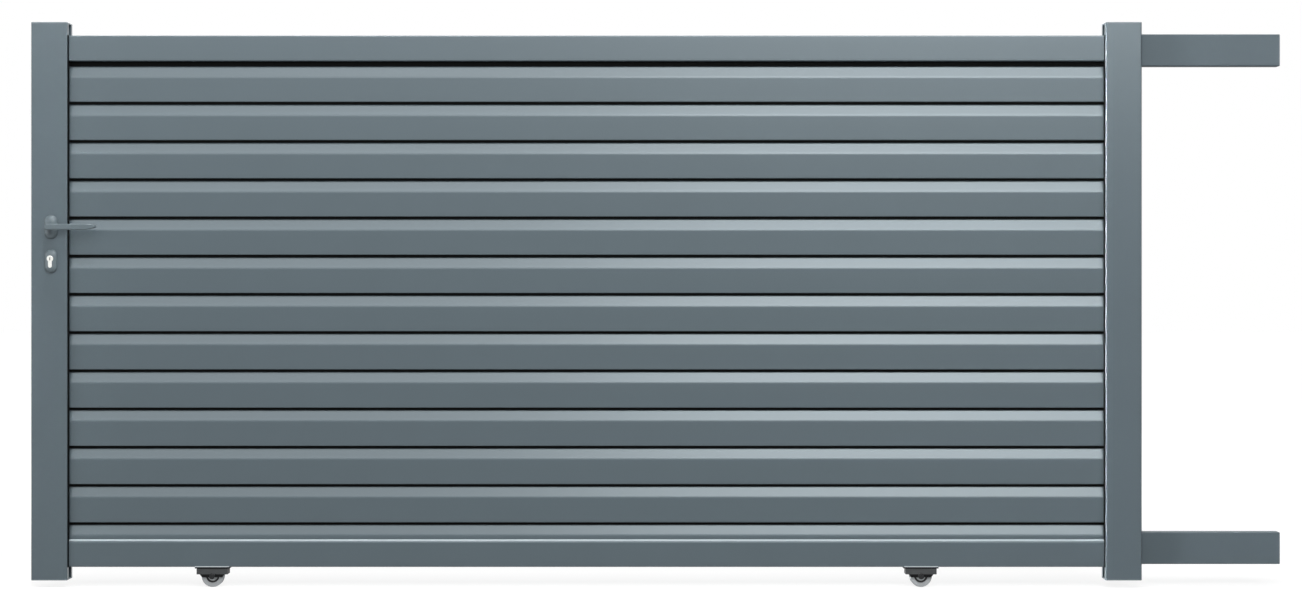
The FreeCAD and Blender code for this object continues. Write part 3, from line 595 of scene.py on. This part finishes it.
@dataclass
class Screws:
    """Screws with a hexagon socket, all of one size."""

    name: str
    body: Body
    finish: Finish
    head_radius: float
    head_height: float
    places: list[tuple[Vector, Vector]]
    head_taper: float = 0.8
    head_sides: int = 32
    socket_share: float = 0.5
    socket_sides: int = 6
    crease_degrees: float = 30.0
    axis_name: str = "screw_axis"

    def tree(self, values: Sizes) -> Tree:
        """Builds the tree that makes one head and sets it on each point along its axis.

        Args:
            values: the sizes that it will be given.

        Returns:
            The geometry tree.
        """
        tree, given = geometry_tree(self.name, values)
        size = given.outputs
        cone = {
            "Vertices": self.head_sides,
            "Radius Bottom": size["Head Radius"],
            "Radius Top": size["Top Radius"],
            "Depth": size["Head Height"],
        }
        head = add_node(tree, "GeometryNodeMeshCone", inputs=cone)
        hexagon = {
            "Vertices": self.socket_sides,
            "Radius": size["Socket Radius"],
            "Depth": size["Head Height"],
        }
        key = add_node(tree, "GeometryNodeMeshCylinder", inputs=hexagon)
        up = add_node(tree, "ShaderNodeCombineXYZ", inputs={"Z": size["Head Height"]})
        lift = {"Geometry": key.outputs["Mesh"], "Translation": up.outputs[0]}
        lifted = add_node(tree, "GeometryNodeTransform", inputs=lift)
        cut = {"Mesh 1": head.outputs["Mesh"], "Mesh 2": lifted.outputs["Geometry"]}
        socketed = add_node(tree, "GeometryNodeMeshBoolean", {"operation": "DIFFERENCE"}, cut)
        named = {"Name": self.axis_name}
        axis = add_node(tree, "GeometryNodeInputNamedAttribute", {"data_type": "FLOAT_VECTOR"}, named)
        along = {"Vector": axis.outputs["Attribute"]}
        turn = add_node(tree, "FunctionNodeAlignRotationToVector", {"axis": "Z"}, along)
        spread = {
            "Points": size["Points"],
            "Instance": socketed.outputs["Mesh"],
            "Rotation": turn.outputs["Rotation"],
        }
        set_in = add_node(tree, "GeometryNodeInstanceOnPoints", inputs=spread)
        close_tree(tree, set_in.outputs["Instances"], size["Material"])
        return tree

    def build(self) -> None:
        """Grows the heads on a mesh of bare points that know their axis."""
        points = bpy.data.meshes.new(self.name)
        points.from_pydata([tuple(place) for place, _ in self.places], [], [])
        axes = points.attributes.new(self.axis_name, "FLOAT_VECTOR", "POINT")
        for known, (_, axis) in zip(axes.data, self.places):
            known.vector = axis
        heads = bpy.data.objects.new(self.name, points)
        values = {
            "Points": points,
            "Head Radius": self.head_radius,
            "Top Radius": self.head_radius * self.head_taper,
            "Head Height": self.head_height,
            "Socket Radius": self.head_radius * self.socket_share,
            "Material": self.finish.material(),
        }
        grow(self.tree(values), values, heads)
        settle(heads, self.finish, self.crease_degrees)
        report(heads, self.body)


@dataclass
class LeafFrame:
    """Stiles, rails, the cut slat, guide tails and the caps that close their ends."""

    nodes: Nodes
    tubes: tuple[str, ...] = ("lock_stile", "tail_stile", "top_rail", "bottom_rail", "slat_13")
    tails: tuple[str, ...] = ("top_guide_tail", "bottom_guide_tail")

    def dress(self) -> None:
        """Coats the tubes, the tails with a duller powder, and leaves the caps in moulded plastic."""
        dress(self.nodes, list(self.tubes), LEAF_COAT)
        dress(self.nodes, list(self.tails), TAIL_COAT)
        dress(self.nodes, [name for name in self.nodes if name.endswith("_cap")], CAP_PLASTIC)


@dataclass
class SlatStack:
    """The whole slats: one extrusion, repeated down the leaf; each tongue stands in the next groove."""

    names: tuple[str, ...] = tuple(f"slat_{order:02d}" for order in range(1, 13))
    flat_height: float = 67.5 * MM
    bevel_height: float = 30.0 * MM
    tongue_half: float = 4.0 * MM
    groove_half: float = 4.5 * MM
    groove_depth: float = 10.5 * MM
    bevel_round: float = 30.0 * MM
    lip_round: float = 2.0 * MM
    fine_round: float = 0.4 * MM
    round_steps: int = 8
    crease_degrees: float = 40.0

    def tree(self, values: Sizes) -> Tree:
        """Builds the tree that draws the profile, draws it out and repeats it.

        Args:
            values: the sizes that it will be given.

        Returns:
            The geometry tree.
        """
        tree, given = geometry_tree("slat_stack", values)
        size = given.outputs
        heights = {0: size["Flat Height"], 1: size["Bevel Height"]}
        bevel_top = add_node(tree, "ShaderNodeMath", inputs=heights).outputs[0]
        half_outline = [
            (size["Groove Half"], size["Groove Depth"], size["Fine Round"]),
            (size["Groove Half"], 0.0, size["Fine Round"]),
            (size["Half Thickness"], 0.0, size["Lip Round"]),
            (size["Half Thickness"], size["Flat Height"], size["Bevel Round"]),
            (size["Tongue Half"], bevel_top, size["Fine Round"]),
            (size["Tongue Half"], size["Height"], size["Fine Round"]),
        ]
        # A profile's own Y points down once it is drawn out along X
        profile_up = -1.0
        sides = [(-1.0, corner) for corner in half_outline]
        sides += [(1.0, corner) for corner in half_outline[::-1]]
        corners = add_node(tree, "GeometryNodeIndexSwitch", {"data_type": "VECTOR"})
        rounds = add_node(tree, "GeometryNodeIndexSwitch", {"data_type": "FLOAT"})
        order = add_node(tree, "GeometryNodeInputIndex").outputs["Index"]
        for switch in (corners, rounds):
            for _ in range(len(sides) - len(switch.index_switch_items)):
                switch.index_switch_items.new()
            tree.links.new(order, switch.inputs["Index"])
        for place, (side, (across, up, turn)) in enumerate(sides, 1):
            point = add_node(tree, "ShaderNodeCombineXYZ", inputs={"X": across, "Y": up})
            mirror = {0: point.outputs[0], 1: (side, profile_up, 0.0)}
            turned = add_node(tree, "ShaderNodeVectorMath", {"operation": "MULTIPLY"}, mirror)
            tree.links.new(turned.outputs[0], corners.inputs[place])
            tree.links.new(turn, rounds.inputs[place])
        line = add_node(tree, "GeometryNodeMeshLine", inputs={"Count": len(sides)})
        moved = {"Geometry": line.outputs["Mesh"], "Position": corners.outputs[0]}
        drawn = add_node(tree, "GeometryNodeSetPosition", inputs=moved)
        curve = add_node(tree, "GeometryNodeMeshToCurve", inputs={"Mesh": drawn.outputs["Geometry"]})
        joined = {"Geometry": curve.outputs["Curve"], "Cyclic": True}
        closed = add_node(tree, "GeometryNodeSetSplineCyclic", inputs=joined)
        fillet = {
            "Curve": closed.outputs["Geometry"],
            "Count": self.round_steps,
            "Radius": rounds.outputs[0],
            "Limit Radius": True,
        }
        rounded = add_node(tree, "GeometryNodeFilletCurve", {"mode": "POLY"}, fillet)
        ends = {}
        for end in ("Start", "End"):
            ends[end] = add_node(tree, "ShaderNodeCombineXYZ", inputs={"X": size[end]}).outputs[0]
        path = add_node(tree, "GeometryNodeCurvePrimitiveLine", inputs=ends)
        drawn_out = {
            "Curve": path.outputs["Curve"],
            "Profile Curve": rounded.outputs["Curve"],
            "Fill Caps": True,
        }
        slat = add_node(tree, "GeometryNodeCurveToMesh", inputs=drawn_out)
        step = add_node(tree, "ShaderNodeMath", {"operation": "MULTIPLY"}, {0: size["Pitch"], 1: -1.0})
        top = add_node(tree, "ShaderNodeCombineXYZ", inputs={"Z": size["Top Slat Base"]})
        down = add_node(tree, "ShaderNodeCombineXYZ", inputs={"Z": step.outputs[0]})
        row = {"Count": size["Count"], "Start Location": top.outputs[0], "Offset": down.outputs[0]}
        places = add_node(tree, "GeometryNodeMeshLine", inputs=row)
        repeat = {"Points": places.outputs["Mesh"], "Instance": slat.outputs["Mesh"]}
        stack = add_node(tree, "GeometryNodeInstanceOnPoints", inputs=repeat)
        close_tree(tree, stack.outputs["Instances"], size["Material"])
        return tree

    def build(self) -> None:
        """Grows the stack where the frame has its slats and lets it stand for them."""
        low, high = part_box(self.names[0])
        next_low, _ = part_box(self.names[1])
        stack = bpy.data.objects.new("slats", bpy.data.meshes.new("slats"))
        values = {
            "Start": low.x,
            "End": high.x,
            "Top Slat Base": low.z,
            "Pitch": low.z - next_low.z,
            "Half Thickness": high.y,
            "Height": high.z - low.z,
            "Flat Height": self.flat_height,
            "Bevel Height": self.bevel_height,
            "Tongue Half": self.tongue_half,
            "Groove Half": self.groove_half,
            "Groove Depth": self.groove_depth,
            "Bevel Round": self.bevel_round,
            "Lip Round": self.lip_round,
            "Fine Round": self.fine_round,
            "Count": len(self.names),
            "Material": LEAF_COAT.material(),
        }
        grow(self.tree(values), values, stack)
        settle(stack, LEAF_COAT, self.crease_degrees)
        even = stack.modifiers.new("even_shading", "WEIGHTED_NORMAL")
        even.keep_sharp = True
        flatten(stack)
        report(stack, Body.LEAF)
        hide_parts(*self.names)


@dataclass
class ShadeAndHighlightStrips:
    """Black strips that paint the shade in the gaps round the slats, and pale beads that paint a
    highlight on the bottom rail, at front and back alike.
    """

    slats: tuple[str, ...] = tuple(f"slat_{order:02d}" for order in range(1, 14))
    thickness: float = 2.0 * MM
    edge_gap: float = 3.0 * MM
    tongue_half: float = 4.0 * MM
    tongue_reach: float = 10.0 * MM
    shadow_gap: float = 6.0 * MM
    shade_front: float = 9.5 * MM
    bead_height: float = 4.2 * MM
    bead_foot: float = 3.4 * MM
    bead_steps: int = 8

    def span(self) -> tuple[float, float]:
        """Finds where the opening between the stiles starts and ends."""
        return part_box("lock_stile")[1].x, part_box("tail_stile")[0].x

    def build_end_shade(self) -> None:
        """Builds black strips that paint the shade on the stiles' inner sides, stepped from the rails to
        the thinner slats.
        """
        start, end = self.span()
        bottom_low, bottom_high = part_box("bottom_rail")
        top_low, top_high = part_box("top_rail")
        slat_low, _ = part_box(self.slats[0])
        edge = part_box("lock_stile")[0].y + self.edge_gap
        section = [
            (edge, bottom_low.z),
            (edge, top_high.z),
            (top_low.y, top_high.z),
            (top_low.y, top_low.z),
            (slat_low.y, top_low.z),
            (slat_low.y, bottom_high.z),
            (bottom_low.y, bottom_high.z),
            (bottom_low.y, bottom_low.z),
        ]
        # Painted shade: near black strips on the stiles' inner sides, where there is only shade
        seals = Shape()
        seals.strips(section, start, start + self.thickness)
        seals.strips(section, end, end - self.thickness)
        report(seals.piece("slat_end_painted_shade", SHADE_PILE), Body.LEAF)

    def build_gap_shade(self) -> None:
        """Builds black strips on each slat's tongue, from the top of its bevel to the piece above it,
        that paint the shade in the gaps.
        """
        near, far = self.tongue_half, self.shade_front
        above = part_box("top_rail")[0].z
        # Painted shade: near black strips fill the shadow gaps between the slats and under the top rail
        shade_strips = Shape()
        for name in self.slats:
            low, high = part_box(name)
            foot = high.z - self.tongue_reach - self.shadow_gap
            shade_strips.strips([(near, foot), (far, foot), (far, above), (near, above)], *self.span())
            above = low.z
        report(shade_strips.piece("slat_gap_painted_shade", SHADE_PILE), Body.LEAF)

    def build_highlight_bead(self) -> None:
        """Builds pale rounded beads between the lowest slat and the bottom rail that paint the highlight
        along the rail's top edge.
        """
        slat_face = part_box(self.slats[-1])[1].y
        rail_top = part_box("bottom_rail")[1].z
        section = [(slat_face, rail_top)]
        for step in range(self.bead_steps + 1):
            angle = math.pi / 2 * step / self.bead_steps
            out, up = self.bead_foot * math.cos(angle), self.bead_height * math.sin(angle)
            section.append((slat_face + out, rail_top + up))
        # Painted highlight: the pale beads stand in for the bottom rail's lit top edge
        bead_shape = Shape()
        bead_shape.strips(section, *self.span())
        report(bead_shape.piece("bottom_rail_painted_highlight", HIGHLIGHT_BEAD), Body.LEAF)


def oval(half_width: float, half_height: float, steps: int) -> Outline:
    """Draws an upright oval: round ends on a straight middle, or a circle where there is none.

    Args:
        half_width: half of its width, which is also the radius of its ends.
        half_height: half of its height.
        steps: how many points it has.

    Returns:
        Its points about its centre, as pairs of X and Z.
    """
    straight = half_height - half_width
    points = []
    for step in range(steps):
        angle = math.tau * (step + 0.5) / steps
        across, up = half_width * math.cos(angle), half_width * math.sin(angle)
        points.append((across, up + math.copysign(straight, up)))
    return points


@dataclass
class LockSet:
    """Levers, roses, the profile cylinder and the lock's steel on the closing face."""

    nodes: Nodes
    round_steps: int = 48
    plug_radius: float = 6.6 * MM
    plug_height: float = 0.9 * MM
    plug_edge: float = 0.3 * MM
    slot_width: float = 2.4 * MM
    slot_height: float = 8.6 * MM
    slot_drop: float = 0.6 * MM
    # Thickness of the dark sheet that paints the shade in each key slot
    shade_sheet_thickness: float = 0.1 * MM
    forend_screw_inset: float = 12.0 * MM
    forend_screw_radius: float = 4.5 * MM
    forend_screw_height: float = 0.45 * MM
    neck_radius: float = 7.0 * MM
    neck_shift: float = 8.0 * MM
    neck_gap: float = 0.3 * MM
    neck_screw_sink: float = 0.3 * MM
    neck_screw_radius: float = 2.0 * MM
    neck_screw_height: float = 0.6 * MM
    cylinder_hole: float = 4.9 * MM
    crown_steps: int = 12

    def dress(self) -> None:
        """Coats the levers, and leaves the lock's metal bare."""
        dress(self.nodes, ["front_lever", "back_lever"], HANDLE_COAT)
        dress(self.nodes, ["lock_cylinder"], CYLINDER_NICKEL)
        dress(self.nodes, ["lock_forend", "lock_case", "hook_bolt", "lever_spindle"], LOCK_STEEL)

    def plug_axis(self) -> Vector:
        """Finds the key plug's axis, in the round upper end of the cylinder.

        Returns:
            A point on it, in the leaf's middle plane.
        """
        low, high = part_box("lock_cylinder")
        return Vector(((low.x + high.x) / 2, 0, high.z - (high.x - low.x) / 2))

    def crowned(self, name: str, hole: float) -> list[list[Vector]]:
        """Works out a rose: an oval that swells to a crown along its middle, with a round hole in it.

        Args:
            name: the solid that it stands for.
            hole: the hole's radius.

        Returns:
            Rings of points from its foot over the crown to the hole, and down the hole.
        """
        low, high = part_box(name)
        centre, half = (low + high) / 2, (high - low) / 2
        foot, crown = sorted((low.y, high.y), key=abs)
        edge, rim = oval(half.x, half.z, self.round_steps), oval(hole, hole, self.round_steps)
        rings = []
        for step in range(self.crown_steps + 1):
            inward = 1 - math.cos(math.pi / 2 * step / self.crown_steps)
            ring = []
            for (edge_x, edge_z), (rim_x, rim_z) in zip(edge, rim):
                across, up = edge_x + inward * (rim_x - edge_x), edge_z + inward * (rim_z - edge_z)
                off_middle = math.hypot(across, max(abs(up) - (half.z - half.x), 0)) / half.x
                swell = math.sqrt(max(1 - off_middle**2, 0))
                ring.append(Vector((centre.x + across, foot + swell * (crown - foot), centre.z + up)))
            rings.append(ring)
        rings.append([Vector((point.x, foot, point.z)) for point in rings[-1]])
        return rings

    def build_roses(self) -> None:
        """Builds the roses with their crowned faces and lets them stand for the frame's flatter ones."""
        names = [name for name in self.nodes if name.endswith("_rose")]
        roses = Shape()
        for name in names:
            at_lever = name.endswith("_lever_rose")
            hole = self.neck_radius + self.neck_gap if at_lever else self.cylinder_hole
            roses.sleeve(self.crowned(name, hole))
        coated = roses.piece("lock_roses", HANDLE_COAT)
        report(coated, Body.LEAF)
        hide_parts(*names)

    def build_plugs(self) -> None:
        """Builds both key plugs, each a low turned disc round a shallow key slot, and dark sheets at the
        slots' feet that paint the shade of deep slots.
        """
        axis = self.plug_axis()
        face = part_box("lock_cylinder")[1].y
        upright = oval(self.slot_width / 2, self.slot_height / 2, self.round_steps)
        slot = [(x, z - self.slot_drop) for x, z in upright]
        wide = oval(self.plug_radius, self.plug_radius, self.round_steps)
        crown = self.plug_radius - self.plug_edge
        narrow = oval(crown, crown, self.round_steps)
        rings = [
            (wide, 0.0),
            (wide, self.plug_height - self.plug_edge),
            (narrow, self.plug_height),
            (slot, self.plug_height),
            (slot, 0.0),
        ]
        plugs, shade_sheets = Shape(), Shape()
        for side in (-1, 1):
            plugs.sleeve(
                [[axis + Vector((x, side * (face + up), z)) for x, z in ring] for ring, up in rings]
            )
            # Painted shade: a dark sheet at the foot of each shallow slot stands in for the shade down a
            # deep key slot
            shade_sheets.prism(
                [axis + Vector((x, side * face, z)) for x, z in slot],
                Vector((0, side * self.shade_sheet_thickness, 0)),
            )
        report(plugs.piece("key_plugs", CYLINDER_NICKEL), Body.LEAF)
        report(shade_sheets.piece("key_slot_shade", AXLE_STEEL), Body.LEAF)

    def build_screws(self) -> None:
        """Builds the screws that hold the forend and the cylinder, and one under each lever's neck."""
        low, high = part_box("lock_forend")
        inset = self.forend_screw_inset
        heights = (low.z + inset, self.plug_axis().z, high.z - inset)
        places = [(Vector((low.x, 0, z)), Vector((-1, 0, 0))) for z in heights]
        sizes = (self.forend_screw_radius, self.forend_screw_height)
        Screws("lock_screws", Body.LEAF, LOCK_STEEL, *sizes, places).build()
        places = []
        for lever in ("front_lever", "back_lever"):
            low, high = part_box(lever)
            half_bar = (high.z - low.z) / 2
            middle = (abs(low.y) + abs(high.y)) / 2
            neck_y = math.copysign(middle - self.neck_shift, low.y)
            under = high.z - half_bar - self.neck_radius + self.neck_screw_sink
            places.append((Vector((low.x + half_bar, neck_y, under)), Vector((0, 0, -1))))
        sizes = (self.neck_screw_radius, self.neck_screw_height)
        Screws("lever_screws", Body.LEVERS, LOCK_STEEL, *sizes, places).build()


@dataclass
class WheelUnit:
    """A grooved wheel on its bearing, in a bracket under the bottom rail."""

    nodes: Nodes
    name: str
    body: Body
    bearing_radius: float = 13.0 * MM
    recess_radius: float = 18.5 * MM
    recess_floor: float = 7.0 * MM
    seal_gap: float = 0.2 * MM
    seal_lift: float = 0.6 * MM
    seal_crown: float = 0.4 * MM
    lip_height: float = 2.5 * MM
    lip_drop: float = 0.1 * MM
    lip_leg: float = 0.5 * MM
    lip_root: float = 1.9 * MM
    lip_thickness: float = 0.8 * MM
    lip_inset: float = 1.5 * MM
    screw_radius: float = 6.0 * MM
    screw_height: float = 1.2 * MM

    def centre(self) -> Vector:
        """Finds the middle of the wheel."""
        low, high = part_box(f"{self.name}_wheel")
        return (low + high) / 2

    def dress(self) -> None:
        """Leaves the wheel's turned steel bare under a dark enamelled bracket."""
        middle = tuple(self.centre())
        zinc = TurnedSteel(
            f"{self.name}_wheel_zinc_plated_turned_steel", "#8f9294", 0.5, 0.6, centre=middle
        )
        dress(self.nodes, [f"{self.name}_wheel", f"{self.name}_wheel_bearing"], zinc)
        dress(self.nodes, [f"{self.name}_wheel_bracket"], BRACKET_ENAMEL)
        dress(self.nodes, [f"{self.name}_wheel_axle"], AXLE_STEEL)

    def build_seals(self) -> None:
        """Builds the rubber dust seals that close the wheel's recess round its bearing."""
        inner, outer = self.bearing_radius + self.seal_gap, self.recess_radius - self.seal_gap
        edge = self.recess_floor + self.seal_lift
        seals = Shape()
        for side in (-1, 1):
            section = [
                (inner, side * self.recess_floor),
                (inner, side * edge),
                ((inner + outer) / 2, side * (edge + self.seal_crown)),
                (outer, side * edge),
                (outer, side * self.recess_floor),
            ]
            seals.turned(section, self.centre())
        report(seals.piece(f"{self.name}_wheel_seals", SEAL_RUBBER), self.body)

    def build_lips(self) -> None:
        """Builds the bracket's folded lips, which hold the rail's lower edges against its plate."""
        low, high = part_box(f"{self.name}_wheel_bracket")
        rail_low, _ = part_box("bottom_rail")
        near = -rail_low.y
        far, root = near + self.lip_thickness, near - self.lip_root
        foot, leg = rail_low.z - self.lip_drop, rail_low.z + self.lip_leg
        top = rail_low.z + self.lip_height
        section = [(root, foot), (far, foot), (far, top), (near, top), (near, leg), (root, leg)]
        lips = Shape()
        lips.strips(section, low.x + self.lip_inset, high.x - self.lip_inset)
        report(lips.piece(f"{self.name}_wheel_lips", LIP_ZINC), Body.LEAF)

    def build_screws(self) -> None:
        """Builds the screws in both ends of the axle."""
        low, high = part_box(f"{self.name}_wheel_axle")
        centre = self.centre()
        places = []
        for y in (low.y, high.y):
            places.append((Vector((centre.x, y, centre.z)), Vector((0, math.copysign(1, y), 0))))
        sizes = (self.screw_radius, self.screw_height)
        Screws(f"{self.name}_axle_screws", Body.LEAF, AXLE_STEEL, *sizes, places).build()


@dataclass(frozen=True)
class Softbox:
    """A rectangular studio light; a grid over it can narrow its beam."""

    name: str
    place: tuple[float, float, float]
    aim: tuple[float, float, float]
    width: float
    height: float
    watts: float
    beam_degrees: float = 180.0

    def hang(self) -> None:
        """Hangs the light, out of the camera's sight."""
        lamp = bpy.data.lights.new(self.name, "AREA")
        lamp.shape = "RECTANGLE"
        lamp.size = self.width
        lamp.size_y = self.height
        lamp.energy = self.watts
        lamp.spread = math.radians(self.beam_degrees)
        light = bpy.data.objects.new(self.name, lamp)
        light.location = self.place
        way = Vector(self.aim) - Vector(self.place)
        light.rotation_euler = way.to_track_quat("-Z", "Y").to_euler()
        light.visible_camera = False
        bpy.context.scene.collection.objects.link(light)


@dataclass
class Studio:
    """Pale floor, white surroundings, softboxes and the photograph's camera."""

    floor_height: float
    image_width_px: float = 1302
    image_height_px: float = 609
    pixel: float = 2.70 * MM
    closing_face_px: float = 30.9
    low_end_px: float = 580.5
    low_end: float = -4.0 * MM
    front_plane: float = -30.0 * MM
    camera_place: tuple[float, float, float] = (1.685, -6.480, 0.814)
    sensor_mm: float = 36.0
    ambient: float = 0.02
    floor_half: float = 30.0
    floor_colour: str = "#838383"
    floor_roughness: float = 0.9
    floor_glow: float = 0.77
    shadow_reach: tuple[float, float] = (4.5, 3.0)
    shadow_core: float = 0.5
    softboxes: tuple[Softbox, ...] = (
        Softbox("right_low_softbox", (3.3, -5.0, 3.1), (3.3, 0.0, 3.1), 3.7, 1.4, 170.0),
        Softbox("right_high_softbox", (3.3, -5.0, 5.2), (3.3, 0.0, 5.2), 3.7, 2.8, 245.0),
        Softbox("left_softbox", (-0.45, -5.0, 4.4), (-0.45, 0.0, 4.4), 3.8, 4.4, 142.0),
        Softbox("top_softbox", (1.5, -0.25, 4.2), (1.5, -0.25, 0.75), 4.0, 0.5, 108.0),
        Softbox("lock_softbox", (0.9, -2.0, 4.2), (0.1, 0.0, 0.92), 0.5, 0.5, 5.0, 50.0),
        Softbox("handle_softbox", (0.2, -0.6, 4.1), (0.03, -0.05, 0.95), 0.25, 0.25, 0.35, 5.5),
        Softbox("side_softbox", (-4.2, -3.0, 1.4), (2.9, 0.0, 0.75), 2.4, 2.4, 95.0),
        Softbox("edge_softbox", (-2.6, -0.62, 1.0), (2.9, -0.42, 0.75), 0.4, 2.0, 32.0, 12.0),
        Softbox("back_softbox", (1.5, 5.0, 4.2), (1.5, 0.0, 2.5), 7.0, 3.0, 330.0),
    )

    def seen(self, tree: Tree) -> Socket:
        """Tells rays that see the surroundings from rays that only light the leaf.

        Args:
            tree: the node tree of the world or the floor.

        Returns:
            One for camera, glossy and transmission rays, otherwise zero.
        """
        ray = add_node(tree, "ShaderNodeLightPath").outputs
        either = ray["Is Camera Ray"]
        for kind in ("Is Glossy Ray", "Is Transmission Ray"):
            both = {0: either, 1: ray[kind]}
            either = add_node(tree, "ShaderNodeMath", {"operation": "MAXIMUM"}, both).outputs[0]
        return either

    def surround(self) -> None:
        """Makes the world white where it is seen, and dimmer as light."""
        world = bpy.data.worlds.new("white_surroundings")
        world.use_nodes = True
        bpy.context.scene.world = world
        tree = world.node_tree
        ends = {"Value": self.seen(tree), "To Min": self.ambient, "To Max": 1.0}
        strength = add_node(tree, "ShaderNodeMapRange", inputs=ends)
        back = tree.nodes["Background"]
        back.inputs["Color"].default_value = linear("#ffffff")
        tree.links.new(strength.outputs["Result"], back.inputs["Strength"])

    def paint_floor(self) -> bpy.types.Material:
        """Mixes a paint that looks white; near the leaf it glows less and so keeps the leaf's shadow.

        Returns:
            The floor's material.
        """
        paint = bpy.data.materials.new("pale_floor_paint")
        paint.use_nodes = True
        tree = paint.node_tree
        shader = tree.nodes["Principled BSDF"]
        shader.inputs["Base Color"].default_value = linear(self.floor_colour)
        shader.inputs["Roughness"].default_value = self.floor_roughness
        shader.inputs["Specular IOR Level"].default_value = 0.0
        shader.inputs["Emission Color"].default_value = linear("#ffffff")
        spread = {
            "Vector": add_node(tree, "ShaderNodeTexCoord").outputs["Object"],
            "Location": (self.camera_place[0], 0.0, self.floor_height),
            "Scale": (*self.shadow_reach, 1.0),
        }
        about_leaf = add_node(tree, "ShaderNodeMapping", {"vector_type": "TEXTURE"}, spread)
        round_leaf = {"Vector": about_leaf.outputs["Vector"]}
        nearness = add_node(tree, "ShaderNodeTexGradient", {"gradient_type": "SPHERICAL"}, round_leaf)
        fade = {
            "Value": nearness.outputs["Fac"],
            "From Max": self.shadow_core,
            "To Min": 1.0,
            "To Max": self.floor_glow,
        }
        white = add_node(tree, "ShaderNodeMapRange", {"interpolation_type": "SMOOTHSTEP"}, fade)
        shown = {0: self.seen(tree), 1: white.outputs["Result"]}
        glow = add_node(tree, "ShaderNodeMath", {"operation": "MULTIPLY"}, shown)
        tree.links.new(glow.outputs[0], shader.inputs["Emission Strength"])
        return paint

    def lay_floor(self) -> None:
        """Lays the floor under the wheels."""
        shape = bmesh.new()
        bmesh.ops.create_grid(shape, x_segments=1, y_segments=1, size=self.floor_half)
        bmesh.ops.translate(shape, verts=shape.verts, vec=(0, 0, self.floor_height))
        data = bpy.data.meshes.new("floor")
        shape.to_mesh(data)
        shape.free()
        data.materials.append(self.paint_floor())
        floor = bpy.data.objects.new("floor", data)
        bpy.context.scene.collection.objects.link(floor)
        floor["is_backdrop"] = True

    def aim_camera(self) -> None:
        """Sets the camera up as the photograph's: level, square to the leaf, framed by a small shift."""
        view = Vector(self.camera_place)
        seen_width = self.image_width_px * self.pixel
        centre_x = (self.image_width_px / 2 - self.closing_face_px) * self.pixel
        centre_z = (self.low_end_px - self.image_height_px / 2) * self.pixel + self.low_end
        data = bpy.data.cameras.new("photo_camera")
        data.sensor_width = self.sensor_mm
        data.lens = self.sensor_mm * (self.front_plane - view.y) / seen_width
        data.shift_x = (centre_x - view.x) / seen_width
        data.shift_y = (centre_z - view.z) / seen_width
        camera = bpy.data.objects.new("photo_camera", data)
        camera.location = view
        camera.rotation_euler = (math.radians(90), 0, 0)
        bpy.context.scene.collection.objects.link(camera)
        bpy.context.scene.camera = camera

    def build(self) -> None:
        """Sets up the whole studio."""
        bpy.context.scene.view_settings.view_transform = "Standard"
        self.surround()
        self.lay_floor()
        self.aim_camera()
        for softbox in self.softboxes:
            softbox.hang()
            LOG.info("hung %s", softbox.name)


def main() -> None:
    """Loads the frame, builds and dresses each sub-assembly, and sets up the studio."""
    logging.basicConfig(level=logging.INFO, format="%(name)s: %(message)s")
    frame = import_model()
    cad_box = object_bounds()
    nodes = frame["nodes"]
    LeafFrame(nodes).dress()
    SlatStack().build()
    seals = ShadeAndHighlightStrips()
    seals.build_end_shade()
    seals.build_gap_shade()
    seals.build_highlight_bead()
    lock = LockSet(nodes)
    lock.dress()
    lock.build_roses()
    lock.build_plugs()
    lock.build_screws()
    for name, body in (("front", Body.FRONT_WHEEL), ("rear", Body.REAR_WHEEL)):
        unit = WheelUnit(nodes, name, body)
        unit.dress()
        unit.build_seals()
        unit.build_lips()
        unit.build_screws()
    Studio(floor_height=cad_box[0].z).build()


if __name__ == "__main__":
    main()
